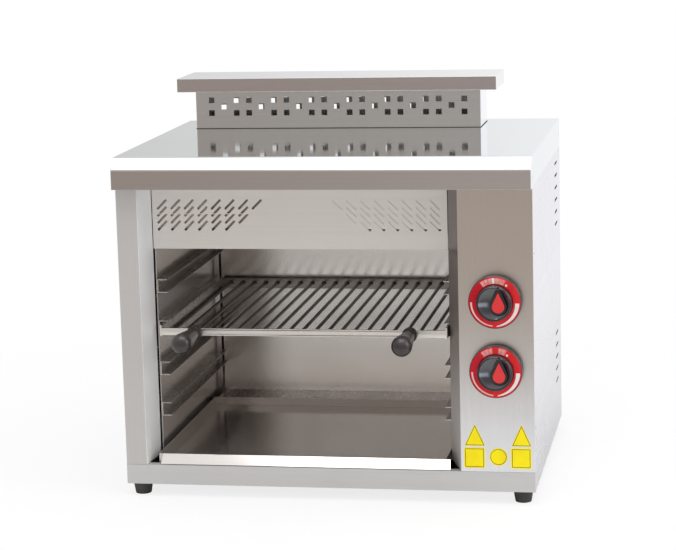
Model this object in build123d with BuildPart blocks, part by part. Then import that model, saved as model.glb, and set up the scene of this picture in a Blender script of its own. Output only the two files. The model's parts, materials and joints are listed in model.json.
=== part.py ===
"""Countertop gas cheese melter: an open-fronted sheet-steel cabinet with two downward
infrared burners, a pull-out rack on four levels of guides, a drip tray under it, a
perforated flue on top and two push-and-turn gas taps on the right.

Frame: +Z up, +X to the right, the open front faces -Y. The origin is the centre of the
bounding box at the height of the table top.
"""
from build123d import *
import math
import os

os.makedirs("parts", exist_ok=True)

# ---- driving dimensions, millimetres ----
width = 600.0               # over the side panels
body_depth = 464.0          # front face of post and panel to the back panel
body_height = 438.0         # underside of the base to the underside of the cover nose
sheet = 1.2                 # every folded sheet
fit_gap = 0.3               # running gap between separate bodies
foot_height = 18.0
foot_top_radius = 14.5
foot_toe_radius = 11.5
foot_inset = 19.0           # foot axis to the side and to the front or back

cover_reach = 20.0          # how far the cover nose stands ahead of the body
nose_height = 28.0
bevel = 17.0                # 45 degree face over the nose
tongue = 15.0               # joggled edge that the cover skirt slips over

chimney_width = 450.0
chimney_depth = 85.0
chimney_rise = 80.0         # cover top to the top of the roof
chimney_offset = -36.0      # chimney axis from the cabinet axis
chimney_back = 31.0         # chimney to the back of the cabinet
roof_side = 26.0            # roof overhang at each end
roof_front = 15.3           # roof overhang front and back
roof_skirt = 21.0
vent_size = 9.0             # square holes
vent_pitch = 20.0
vent_row = 10.1             # half the distance between the two rows of a pair
vent_height = 34.6          # middle row over the cover
vent_columns = 21

post_width = 31.0
post_slant = 4.0            # how far the post's return runs in on its way back
post_flange = 24.0          # flange of post and panel along the side panels
recess_depth = 66.0         # the fascia stands this far behind the front
fascia_drop = 99.0
fascia_return = 12.0
slot_length = 19.5
slot_width = 3.4
slot_pitch = 20.3
slot_rise = 10.4
slot_top = 33.4             # first row of slots under the cover nose
slot_edge = 16.0            # first column of slots from the post
slot_edge_right = 16.8      # and from the right end of the fascia
slot_rows = (8, 7, 7, 6)

panel_width = 106.0
cheek_slant = 22.0          # how far the cheek runs in behind the panel
cheek_flange = 8.0          # fold at the cheek's back edge
base_height = 29.0
base_return = 14.0

wall_step = 4.0             # left cavity wall inboard of the post
wall_outset = 6.0           # right cavity wall outboard of the cheek
wall_tail = 11.0            # side walls and ceiling behind the back wall
wall_foot = 39.0            # underside of the base to the cavity back wall
wall_slit = 8.0             # back wall to the side walls
back_gap = 18.0             # cavity back wall to the back of the cabinet
ceiling_height = 390.0      # underside of the base to the ceiling plate
guide_levels = 4
guide_pitch = 62.0
guide_first = 86.5          # underside of the lowest guide over the base
guide_height = 20.0
guide_reach = 14.5
guide_front = 2.0           # guide front end behind the fascia plane
ledge_reach = 16.0
ledge_drop = 14.0

rack_level = 2              # counted from 0 at the bottom
rack_front = 46.0           # front face of the rack behind the body front
rack_back_gap = 11.0        # rack to the cavity back wall
rack_side_gap = 5.5         # rack to the webs of the guides
rack_bar_height = 16.5
rack_bar_width = 3.0
rack_rail_height = 10.5
rack_rail_thick = 5.0
rack_rod_radius = 2.5
rack_rod_pitch = 19.2
rack_rod_edge = 19.7        # outermost rods at least this far inside the rack
rack_stop_thick = 4.0       # rear bar

handle_reach = 52.0         # handle end ahead of the body front
handle_ball_radius = 14.8
handle_neck_radius = 8.5
handle_collar_radius = 11.0
handle_inset = 53.8         # handle axes from the ends of the rack
handle_collar_depth = 9.0
handle_neck_depth = 13.0    # rail to the start of the taper
handle_edge = 2.0           # small bevel at the collar's foot
stud_radius = 3.0

tray_back_gap = 71.0
tray_wall = 13.5
tray_front = 14.0           # tray front wall behind the body front
tray_side_gap = 7.0
tray_lip_run = 11.0
tray_lip_width = 428.0
tray_lip_taper = 1.5

tap_low = 178.0             # tap axes over the underside of the base
tap_spacing = 100.0
tap_push = 3.2              # push travel of the tap
knob_gap = 3.6              # skirt to panel at rest
skirt_radius = 37.5
skirt_height = 11.4
grip_radius = 25.0
grip_height = 12.0
dial_inner_radius = 26.0
dial_thick = 1.0
insert_radius = 8.8         # red drop on the grip's ridge
insert_length = 28.0
insert_aside = 6.0          # drop to the right of the tap axis
insert_raise = 1.0
insert_tip_radius = 1.0
insert_thick = 2.0
insert_proud = 0.6
ridge_margin = 3.0          # black ridge left round the red drop
scoop_depth = 8.0           # hollow between the ridge and the grip's wall
grip_wall = 2.6
skirt_edge = 1.0
boss_wall = 4.0
web = 2.5
spindle_radius = 4.0
spindle_clearance = 0.05
collar_radius = 8.9
collar_clearance = 0.08
collar_thick = 4.0
bonnet_radius = 13.0
bonnet_depth = 13.0
valve_width = 28.0
valve_depth = 30.0
pipe_radius = 8.0
feed_radius = 4.0
inlet_height = 60.0
inlet_reach = 22.0          # gas inlet behind the back panel
inlet_seat = 4.0            # gas inlet ahead of the back panel
inlet_radius = 10.48
nut_across = 27.0

burner_side_gap = 11.5      # burners to the cavity side walls
burner_flue_gap = 24.4      # rear burner to the front of the flue
burner_height = 38.0
burner_gap = 18.0           # between the two burners
burner_setback = 6.0        # first burner behind the fascia
plaque_thick = 12.0
plaque_groove = 2.0
plaque_tiles = 3
venturi_radius = 11.0
venturi_mouth = 16.0
venturi_length = 46.0
venturi_flare = 6.0         # length of the bell mouth
burner_rim = 8.0
feed_bend = 12.0
pipe_bend = 24.0
strap_reach = 10.0          # injector strap ahead of the bell mouth
strap_width = 8.0
strap_thick = 1.5

louvre_length = 42.0
louvre_height = 4.0
louvre_pitch = 19.0
louvre_back = 72.0          # louvre centre to the back of the cabinet
louvre_top_first = 326.0
louvre_top_count = 6
louvre_low_first = 76.0
louvre_low_count = 5

# ---- planes that the pieces share ----
x_left = -width / 2
x_right = width / 2
y_front = handle_reach - (handle_reach + body_depth + inlet_reach) / 2
y_back = y_front + body_depth
y_fascia = y_front + recess_depth
z_base = foot_height
z_lip = z_base + body_height
z_top = z_lip + nose_height + bevel
z_shelf = z_base + base_height
z_ceiling = z_base + ceiling_height
x_fold = x_left + post_width
x_post = x_fold + post_slant
x_panel = x_right - panel_width
x_cheek = x_panel - cheek_slant
x_wall_left = x_post + wall_step
x_wall_right = x_cheek + wall_outset
y_wall_back = y_back - back_gap
x_tap = x_panel + panel_width / 2
y_chimney = y_back - chimney_back - chimney_depth / 2
flue_width = chimney_width - 2 * sheet
flue_depth = chimney_depth - 2 * sheet
x_burner = (x_wall_left + x_wall_right) / 2
burner_width = x_wall_right - x_wall_left - 2 * burner_side_gap
y_burner_first = y_fascia + fascia_return + burner_setback
y_burner_last = y_chimney - flue_depth / 2 + sheet - burner_flue_gap
burner_depth = (y_burner_last - y_burner_first - burner_gap) / 2
y_panel_back = y_front + sheet


def rail_box(x0, x1, y0, y1, z0, z1):
    """Box between six planes, added to the part being built."""
    with Locations(((x0 + x1) / 2, (y0 + y1) / 2, (z0 + z1) / 2)):
        Box(x1 - x0, y1 - y0, z1 - z0)


# ---- base: a floor folded up at the front, back and sides ----
with BuildPart() as base_pan:
    with BuildSketch(Plane.YZ.offset(x_left)):
        with BuildLine():
            Polyline(
                (y_front, z_base),
                (y_back - 2 * sheet, z_base),
                (y_back - 2 * sheet, z_shelf - sheet),
                (y_back - 3 * sheet, z_shelf - sheet),
                (y_back - 3 * sheet, z_base + sheet),
                (y_front + sheet, z_base + sheet),
                (y_front + sheet, z_shelf - sheet),
                (y_front + base_return, z_shelf - sheet),
                (y_front + base_return, z_shelf),
                (y_front, z_shelf),
                close=True,
            )
        make_face()
    extrude(amount=width)
    # behind the front face the pan sits between the side panels
    for side in (-1, 1):
        edge = side * (width / 2 - sheet / 2)
        with Locations((edge, (y_front + sheet + y_back) / 2, z_base + base_height / 2)):
            Box(sheet, y_back - y_front - sheet, base_height, mode=Mode.SUBTRACT)
        inner = side * (width / 2 - 1.5 * sheet)
        with Locations((inner, (y_front + base_return + y_back - 3 * sheet) / 2, z_base + base_height / 2)):
            Box(sheet, y_back - 3 * sheet - y_front - base_return, base_height)
base_pan.part.label = "base_pan"
export_step(base_pan.part, "parts/base_pan.step")

# ---- side panels: plain sheets whose top edge is joggled in under the cover skirt ----
side_profile = [
    (width / 2 - sheet, z_base),
    (width / 2, z_base),
    (width / 2, z_lip),
    (width / 2 - sheet, z_lip),
    (width / 2 - sheet, z_lip + tongue),
    (width / 2 - 2 * sheet, z_lip + tongue),
    (width / 2 - 2 * sheet, z_lip - sheet),
    (width / 2 - sheet, z_lip - sheet),
]
with BuildPart() as left_side_panel:
    with BuildSketch(Plane.XZ.offset(-y_back)):
        with BuildLine():
            Polyline([(-x, z) for x, z in side_profile], close=True)
        make_face()
    extrude(amount=body_depth - sheet)
    for y_end in (y_front, y_back):
        with Locations((x_left + 1.5 * sheet, y_end, z_lip + tongue / 2 - sheet)):
            Box(sheet, 2 * post_flange + 2, tongue + 2 * sheet, mode=Mode.SUBTRACT)
left_side_panel.part.label = "left_side_panel"
export_step(left_side_panel.part, "parts/left_side_panel.step")

with BuildPart() as right_side_panel:
    with BuildSketch(Plane.XZ.offset(-y_back)):
        with BuildLine():
            Polyline(side_profile, close=True)
        make_face()
    extrude(amount=body_depth - sheet)
    # two groups of ventilation slots beside the gas compartment
    slot_heights = [louvre_top_first + louvre_pitch * k for k in range(louvre_top_count)]
    slot_heights += [louvre_low_first + louvre_pitch * k for k in range(louvre_low_count)]
    with BuildSketch(Plane.YZ.offset(x_right + sheet)):
        with Locations([(y_back - louvre_back, z_base + height) for height in slot_heights]):
            Rectangle(louvre_length, louvre_height)
    extrude(amount=-3 * sheet, mode=Mode.SUBTRACT)
    for y_end in (y_front, y_back):
        with Locations((x_right - 1.5 * sheet, y_end, z_lip + tongue / 2 - sheet)):
            Box(sheet, 2 * post_flange + 2, tongue + 2 * sheet, mode=Mode.SUBTRACT)
right_side_panel.part.label = "right_side_panel"
export_step(right_side_panel.part, "parts/right_side_panel.step")

# ---- back panel, between the side panels, with the hole for the gas inlet ----
z_inlet = z_base + inlet_height
x_inlet = x_tap + 24.0
with BuildPart() as back_panel:
    with BuildSketch(Plane.YZ.offset(x_left + sheet)):
        with BuildLine():
            Polyline(
                (y_back - sheet, z_base),
                (y_back, z_base),
                (y_back, z_lip),
                (y_back - sheet, z_lip),
                (y_back - sheet, z_lip + tongue),
                (y_back - 2 * sheet, z_lip + tongue),
                (y_back - 2 * sheet, z_lip - sheet),
                (y_back - sheet, z_lip - sheet),
                close=True,
            )
        make_face()
    extrude(amount=width - 2 * sheet)
    # the joggle stops short of the side panels' own
    for side in (-1, 1):
        with Locations((side * (width / 2 - 1.5 * sheet), y_back - 1.5 * sheet, z_lip + tongue / 2 - sheet)):
            Box(2 * sheet, sheet, tongue + 2 * sheet, mode=Mode.SUBTRACT)
    with Locations(Plane((x_inlet, y_back, z_inlet), z_dir=(0, 1, 0))):
        Hole(radius=inlet_radius + fit_gap, depth=3 * sheet)
back_panel.part.label = "back_panel"
export_step(back_panel.part, "parts/back_panel.step")

# ---- top cover: a shell open below, with a bevelled nose and the flue opening ----
with BuildPart() as top_cover:
    with BuildSketch(Plane.YZ.offset(x_left)):
        with BuildLine():
            Polyline(
                (y_front - cover_reach, z_lip),
                (y_front - cover_reach, z_lip + nose_height),
                (y_front - cover_reach + bevel, z_top),
                (y_back, z_top),
                (y_back, z_lip),
                close=True,
            )
        make_face()
    extrude(amount=width)
    offset(amount=-sheet, openings=top_cover.faces().sort_by(Axis.Z)[0])
    rail_box(x_left + sheet, x_right - sheet, y_front - cover_reach + sheet, y_front, z_lip, z_lip + sheet)
    with BuildSketch(Plane.XY.offset(z_top)):
        with Locations((chimney_offset, y_chimney)):
            Rectangle(flue_width, flue_depth)
    extrude(amount=-2 * sheet, mode=Mode.SUBTRACT)
top_cover.part.label = "top_cover"
export_step(top_cover.part, "parts/top_cover.step")

# ---- chimney: a rectangular sheet tube, both long walls pierced by square holes ----
with BuildPart() as chimney_body:
    with BuildSketch(Plane.XY.offset(z_top)):
        with Locations((chimney_offset, y_chimney)):
            Rectangle(chimney_width, chimney_depth)
            Rectangle(flue_width, flue_depth, mode=Mode.SUBTRACT)
    extrude(amount=chimney_rise - sheet)
    vents = []
    for column in range(vent_columns):
        across = chimney_offset + vent_pitch * (column - (vent_columns - 1) / 2)
        rows = (0.0,) if column % 3 == 1 else (-vent_row, vent_row)
        vents += [(across, z_top + vent_height + row) for row in rows]
    with BuildSketch(Plane.XZ.offset(-y_chimney - chimney_depth)):
        with Locations(vents):
            Rectangle(vent_size, vent_size)
    extrude(amount=2 * chimney_depth, mode=Mode.SUBTRACT)
chimney_body.part.label = "chimney_body"
export_step(chimney_body.part, "parts/chimney_body.step")

# ---- chimney roof: a folded lid that overhangs on all four sides ----
z_roof = z_top + chimney_rise
with BuildPart() as chimney_roof:
    with BuildSketch(Plane.XY.offset(z_roof - roof_skirt)):
        with Locations((chimney_offset, y_chimney)):
            Rectangle(chimney_width + 2 * roof_side, chimney_depth + 2 * roof_front)
    extrude(amount=roof_skirt)
    offset(amount=-sheet, openings=chimney_roof.faces().sort_by(Axis.Z)[0])
chimney_roof.part.label = "chimney_roof"
export_step(chimney_roof.part, "parts/chimney_roof.step")

# ---- left post: a channel, its return slanting back to the fascia plane ----
with BuildPart() as left_front_post:
    with BuildSketch(Plane.XY.offset(z_shelf + fit_gap)):
        with BuildLine():
            Polyline(
                (x_left, y_front),
                (x_fold, y_front),
                (x_post, y_fascia + sheet),
                (x_post - sheet, y_fascia + sheet),
                (x_fold - sheet, y_front + sheet),
                (x_left + 2 * sheet, y_front + sheet),
                (x_left + 2 * sheet, y_front + post_flange),
                (x_left + sheet, y_front + post_flange),
                (x_left + sheet, y_front + sheet),
                (x_left, y_front + sheet),
                close=True,
            )
        make_face()
    extrude(amount=z_lip - z_shelf - fit_gap)
left_front_post.part.label = "left_front_post"
export_step(left_front_post.part, "parts/left_front_post.step")

# ---- control panel with two spindle holes and a flange along the side panel ----
z_taps = [z_base + tap_low, z_base + tap_low + tap_spacing]
with BuildPart() as control_panel:
    with BuildSketch(Plane.XY.offset(z_shelf + fit_gap)):
        with BuildLine():
            Polyline(
                (x_panel, y_front),
                (x_right, y_front),
                (x_right, y_front + sheet),
                (x_right - sheet, y_front + sheet),
                (x_right - sheet, y_front + post_flange),
                (x_right - 2 * sheet, y_front + post_flange),
                (x_right - 2 * sheet, y_front + sheet),
                (x_panel, y_front + sheet),
                close=True,
            )
        make_face()
    extrude(amount=z_lip - z_shelf - fit_gap)
    for z_tap in z_taps:
        with Locations(Plane((x_tap, y_front, z_tap), z_dir=(0, -1, 0))):
            Hole(radius=spindle_radius + 1.5, depth=3 * sheet)
control_panel.part.label = "control_panel"
export_step(control_panel.part, "parts/control_panel.step")

# ---- slanted cheek between the control panel and the cavity, its back edge folded ----
cheek_run = math.hypot(cheek_slant, recess_depth)
cheek_skin = sheet * cheek_run / recess_depth
cheek_corner = cheek_skin + cheek_slant * sheet / recess_depth
with BuildPart() as control_cheek:
    with BuildSketch(Plane.XY.offset(z_shelf + fit_gap)):
        with BuildLine():
            Polyline(
                (x_panel, y_front + sheet),
                (x_cheek, y_fascia + sheet),
                (x_cheek + cheek_flange, y_fascia + sheet),
                (x_cheek + cheek_flange, y_fascia),
                (x_cheek + cheek_corner, y_fascia),
                (x_panel + cheek_skin, y_front + sheet),
                close=True,
            )
        make_face()
    extrude(amount=z_lip - z_shelf - fit_gap)
control_cheek.part.label = "control_cheek"
export_step(control_cheek.part, "parts/control_cheek.step")

# ---- fascia: folded strip under the cover with two mirrored fields of slanted slots ----
x_fascia_start = x_post + sheet
x_fascia_end = x_cheek - fit_gap
with BuildPart() as fascia:
    with BuildSketch(Plane.YZ.offset(x_fascia_start)):
        with BuildLine():
            Polyline(
                (y_front + sheet, z_lip - sheet),
                (y_front + sheet, z_lip),
                (y_fascia + sheet, z_lip),
                (y_fascia + sheet, z_lip - fascia_drop + sheet),
                (y_fascia + fascia_return, z_lip - fascia_drop + sheet),
                (y_fascia + fascia_return, z_lip - fascia_drop),
                (y_fascia, z_lip - fascia_drop),
                (y_fascia, z_lip - sheet),
                close=True,
            )
        make_face()
    extrude(amount=x_fascia_end - x_fascia_start)
    # the bottom fold is notched for the left cavity wall
    x_notch = x_wall_left + fit_gap
    with Locations(((x_post + x_notch) / 2, y_fascia + sheet + fascia_return / 2, z_lip - fascia_drop + sheet / 2)):
        Box(x_notch - x_post, fascia_return, 2 * sheet, mode=Mode.SUBTRACT)
    for side, x_column in ((-1, x_post + slot_edge), (1, x_fascia_end - slot_edge_right)):
        places = []
        for row, count in enumerate(slot_rows):
            for column in range(count):
                places.append((x_column - side * slot_pitch * column, z_lip - slot_top - slot_rise * row))
        with BuildSketch(Plane.XZ.offset(-y_fascia - 2 * sheet)):
            with Locations(places):
                Rectangle(slot_length, slot_width, rotation=-45 * side)
        extrude(amount=4 * sheet, mode=Mode.SUBTRACT)
fascia.part.label = "fascia"
export_step(fascia.part, "parts/fascia.step")

# ---- cavity walls and ceiling: the left wall stands clear of the post, the right one
# behind the cheek's fold. The back wall leaves a slit on each side and ends above the tray ----
y_walls = y_fascia + sheet
y_tail = y_wall_back + wall_tail
with BuildPart() as cavity_left_wall:
    rail_box(x_wall_left - sheet, x_wall_left, y_walls, y_tail, z_base + sheet, z_ceiling)
cavity_left_wall.part.label = "cavity_left_wall"
export_step(cavity_left_wall.part, "parts/cavity_left_wall.step")

burner_ys = [y_burner_first + burner_depth / 2 + k * (burner_depth + burner_gap) for k in range(2)]
z_burner = z_ceiling - burner_height
z_venturi = z_ceiling - 2 * sheet - venturi_radius
with BuildPart() as cavity_right_wall:
    rail_box(x_wall_right, x_wall_right + sheet, y_walls, y_tail, z_base + sheet, z_ceiling)
    for y_burner in burner_ys:
        with Locations(Plane((x_wall_right + sheet, y_burner, z_venturi), z_dir=(1, 0, 0))):
            Hole(radius=venturi_radius + fit_gap, depth=3 * sheet)
cavity_right_wall.part.label = "cavity_right_wall"
export_step(cavity_right_wall.part, "parts/cavity_right_wall.step")

with BuildPart() as cavity_back_wall:
    rail_box(
        x_wall_left + wall_slit,
        x_wall_right - wall_slit,
        y_wall_back,
        y_wall_back + sheet,
        z_base + wall_foot,
        z_ceiling,
    )
cavity_back_wall.part.label = "cavity_back_wall"
export_step(cavity_back_wall.part, "parts/cavity_back_wall.step")

with BuildPart() as ceiling_plate:
    rail_box(
        x_wall_left - sheet,
        x_wall_right + sheet,
        y_walls,
        y_tail,
        z_ceiling,
        z_ceiling + sheet,
    )
    with BuildSketch(Plane.XY.offset(z_ceiling + sheet)):
        with Locations((x_burner, y_chimney)):
            Rectangle(burner_width, flue_depth - 2 * sheet)
    extrude(amount=-2 * sheet, mode=Mode.SUBTRACT)
ceiling_plate.part.label = "ceiling_plate"
export_step(ceiling_plate.part, "parts/ceiling_plate.step")

# ---- flue duct from the ceiling plate to the cover ----
with BuildPart() as flue_duct:
    with BuildSketch(Plane.XY.offset(z_ceiling + sheet)):
        with Locations((x_burner, y_chimney)):
            Rectangle(burner_width + 2 * sheet, flue_depth)
            Rectangle(burner_width, flue_depth - 2 * sheet, mode=Mode.SUBTRACT)
    extrude(amount=z_top - z_ceiling - 2 * sheet)
flue_duct.part.label = "flue_duct"
export_step(flue_duct.part, "parts/flue_duct.step")

# ---- rack guides: four channels a side, webs on the cavity walls ----
y_guides = y_fascia + guide_front
for side, x_wall in (("left", x_wall_left), ("right", x_wall_right)):
    inward = 1 if side == "left" else -1
    for level in range(guide_levels):
        z_guide = z_base + guide_first + guide_pitch * level
        with BuildPart() as guide:
            with BuildSketch(Plane.XZ.offset(-y_guides)):
                with BuildLine():
                    Polyline(
                        (x_wall, z_guide),
                        (x_wall + inward * guide_reach, z_guide),
                        (x_wall + inward * guide_reach, z_guide + sheet),
                        (x_wall + inward * sheet, z_guide + sheet),
                        (x_wall + inward * sheet, z_guide + guide_height - sheet),
                        (x_wall + inward * guide_reach, z_guide + guide_height - sheet),
                        (x_wall + inward * guide_reach, z_guide + guide_height),
                        (x_wall, z_guide + guide_height),
                        close=True,
                    )
                make_face()
            extrude(amount=-(y_wall_back - y_guides))
        guide.part.label = f"guide_{side}_{level + 1}"
        export_step(guide.part, f"parts/guide_{side}_{level + 1}.step")

# ---- ledges that carry the drip tray ----
for side, x_wall in (("left", x_wall_left), ("right", x_wall_right)):
    inward = 1 if side == "left" else -1
    with BuildPart() as ledge:
        with BuildSketch(Plane.XZ.offset(-y_guides)):
            with BuildLine():
                Polyline(
                    (x_wall, z_shelf),
                    (x_wall + inward * ledge_reach, z_shelf),
                    (x_wall + inward * ledge_reach, z_shelf - sheet),
                    (x_wall + inward * sheet, z_shelf - sheet),
                    (x_wall + inward * sheet, z_shelf - ledge_drop),
                    (x_wall, z_shelf - ledge_drop),
                    close=True,
                )
            make_face()
        extrude(amount=-(y_wall_back - y_guides))
    ledge.part.label = f"tray_ledge_{side}"
    export_step(ledge.part, f"parts/tray_ledge_{side}.step")

# ---- drip tray: a shallow pan whose front is folded over into a sloping pull lip ----
z_tray = z_shelf + fit_gap
y_tray = y_front + tray_front
x_lip = (x_post + x_panel) / 2
with BuildPart() as drip_tray:
    rail_box(
        x_wall_left + tray_side_gap,
        x_wall_right - tray_side_gap,
        y_tray,
        y_wall_back - tray_back_gap,
        z_tray,
        z_tray + tray_wall,
    )
    offset(amount=-sheet, openings=drip_tray.faces().sort_by(Axis.Z)[-1])
    z_rim = z_tray + tray_wall
    with BuildSketch(Plane.YZ.offset(x_lip - tray_lip_width / 2)):
        with BuildLine():
            Polyline(
                (y_tray, z_rim),
                (y_tray - tray_lip_run, z_tray + fit_gap),
                (y_tray - tray_lip_run + 1.4 * sheet, z_tray + fit_gap),
                (y_tray, z_rim - 1.6 * sheet),
                close=True,
            )
        make_face()
    extrude(amount=tray_lip_width)
    # the lip's ends run in slightly towards the fold
    for side in (-1, 1):
        x_end = x_lip + side * tray_lip_width / 2
        with BuildSketch(Plane.XZ.offset(-y_tray)):
            with BuildLine():
                Polyline(
                    (x_end, z_tray),
                    (x_end - side * tray_lip_taper, z_rim + sheet),
                    (x_end + side * tray_lip_taper, z_rim + sheet),
                    (x_end + side * tray_lip_taper, z_tray),
                    close=True,
                )
            make_face()
        extrude(amount=2 * tray_lip_run, mode=Mode.SUBTRACT)
drip_tray.part.label = "drip_tray"
export_step(drip_tray.part, "parts/drip_tray.step")

# ---- rack: side bars in the guides, front rail, rear bar and round rods ----
z_rack = z_base + guide_first + guide_pitch * rack_level + sheet + fit_gap
x_rack_left = x_wall_left + sheet + rack_side_gap
x_rack_right = x_wall_right - sheet - rack_side_gap
x_rack = (x_rack_left + x_rack_right) / 2
y_rack = y_front + rack_front
y_rack_back = y_wall_back - rack_back_gap
z_rail = z_rack + 1.5
z_rods = z_rail + rack_rail_height - rack_rod_radius - 0.4
x_handles = (x_rack_left + handle_inset, x_rack_right - handle_inset)
z_handle = z_rail + rack_rail_height / 2
with BuildPart() as rack_frame:
    for x_bar in (x_rack_left, x_rack_right - rack_bar_width):
        rail_box(x_bar, x_bar + rack_bar_width, y_rack, y_rack_back, z_rack, z_rack + rack_bar_height)
    x_bars = (x_rack_left + rack_bar_width, x_rack_right - rack_bar_width)
    rail_box(*x_bars, y_rack, y_rack + rack_rail_thick, z_rail, z_rail + rack_rail_height)
    y_stop = y_rack_back - rack_stop_thick
    rail_box(*x_bars, y_stop, y_rack_back, z_rack, z_rack + rack_bar_height)
    for x_handle in x_handles:
        with Locations(Plane((x_handle, y_rack, z_handle), z_dir=(0, -1, 0))):
            Hole(radius=stud_radius + spindle_clearance, depth=2 * rack_rail_thick)
rack_frame.part.label = "rack_frame"
export_step(rack_frame.part, "parts/rack_frame.step")

# the rods are welded at their ends to the front rail and the rear bar
rod_count = 1 + 2 * int((x_rack_right - x_rack_left - 2 * rack_rod_edge) / 2 / rack_rod_pitch)
with BuildPart() as rack_grid:
    with BuildSketch(Plane.XZ.offset(-y_rack - rack_rail_thick)):
        with Locations((x_rack, z_rods)):
            with GridLocations(rack_rod_pitch, 0, rod_count, 1):
                Circle(rack_rod_radius)
    extrude(amount=-(y_stop - y_rack - rack_rail_thick))
rack_grid.part.label = "rack_grid"
export_step(rack_grid.part, "parts/rack_grid.step")

# ---- rack handles: turned grips on studs through the front rail ----
y_grip = y_front - handle_reach
grip_length = y_rack - y_grip
ball_depth = grip_length - handle_ball_radius
taper = math.asin((handle_ball_radius - handle_neck_radius) / (ball_depth - handle_neck_depth))
ball_start = (handle_ball_radius * math.cos(taper), -ball_depth + handle_ball_radius * math.sin(taper))
ball_side = (handle_ball_radius * math.sin(1.0), -ball_depth - handle_ball_radius * math.cos(1.0))
for side, x_handle in zip(("left", "right"), x_handles):
    grip_plane = Plane(origin=(x_handle, y_rack, z_handle), x_dir=(1, 0, 0), z_dir=(0, 0, 1))
    with BuildPart() as handle:
        with BuildSketch(grip_plane):
            with BuildLine():
                Polyline(
                    (0.0, -grip_length),
                    (0.0, 0.0),
                    (handle_collar_radius - handle_edge, 0.0),
                    (handle_collar_radius, -handle_edge),
                    (handle_collar_radius, -handle_collar_depth),
                    (handle_neck_radius, -handle_neck_depth),
                    ball_start,
                )
                ThreePointArc(ball_start, ball_side, (0.0, -grip_length))
            make_face()
        revolve(axis=Axis((x_handle, y_rack, z_handle), (0, 1, 0)))
        with Locations(Plane((x_handle, y_rack, z_handle), z_dir=(0, 1, 0))):
            Hole(radius=stud_radius, depth=grip_length * 0.5)
    handle.part.label = f"handle_{side}"
    export_step(handle.part, f"parts/handle_{side}.step")

    with BuildPart() as stud:
        with BuildSketch(Plane.XZ.offset(-y_rack - rack_rail_thick)):
            with Locations((x_handle, z_handle)):
                Circle(stud_radius)
        extrude(amount=rack_rail_thick + grip_length * 0.5)
    stud.part.label = f"handle_stud_{side}"
    export_step(stud.part, f"parts/handle_stud_{side}.step")

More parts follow.
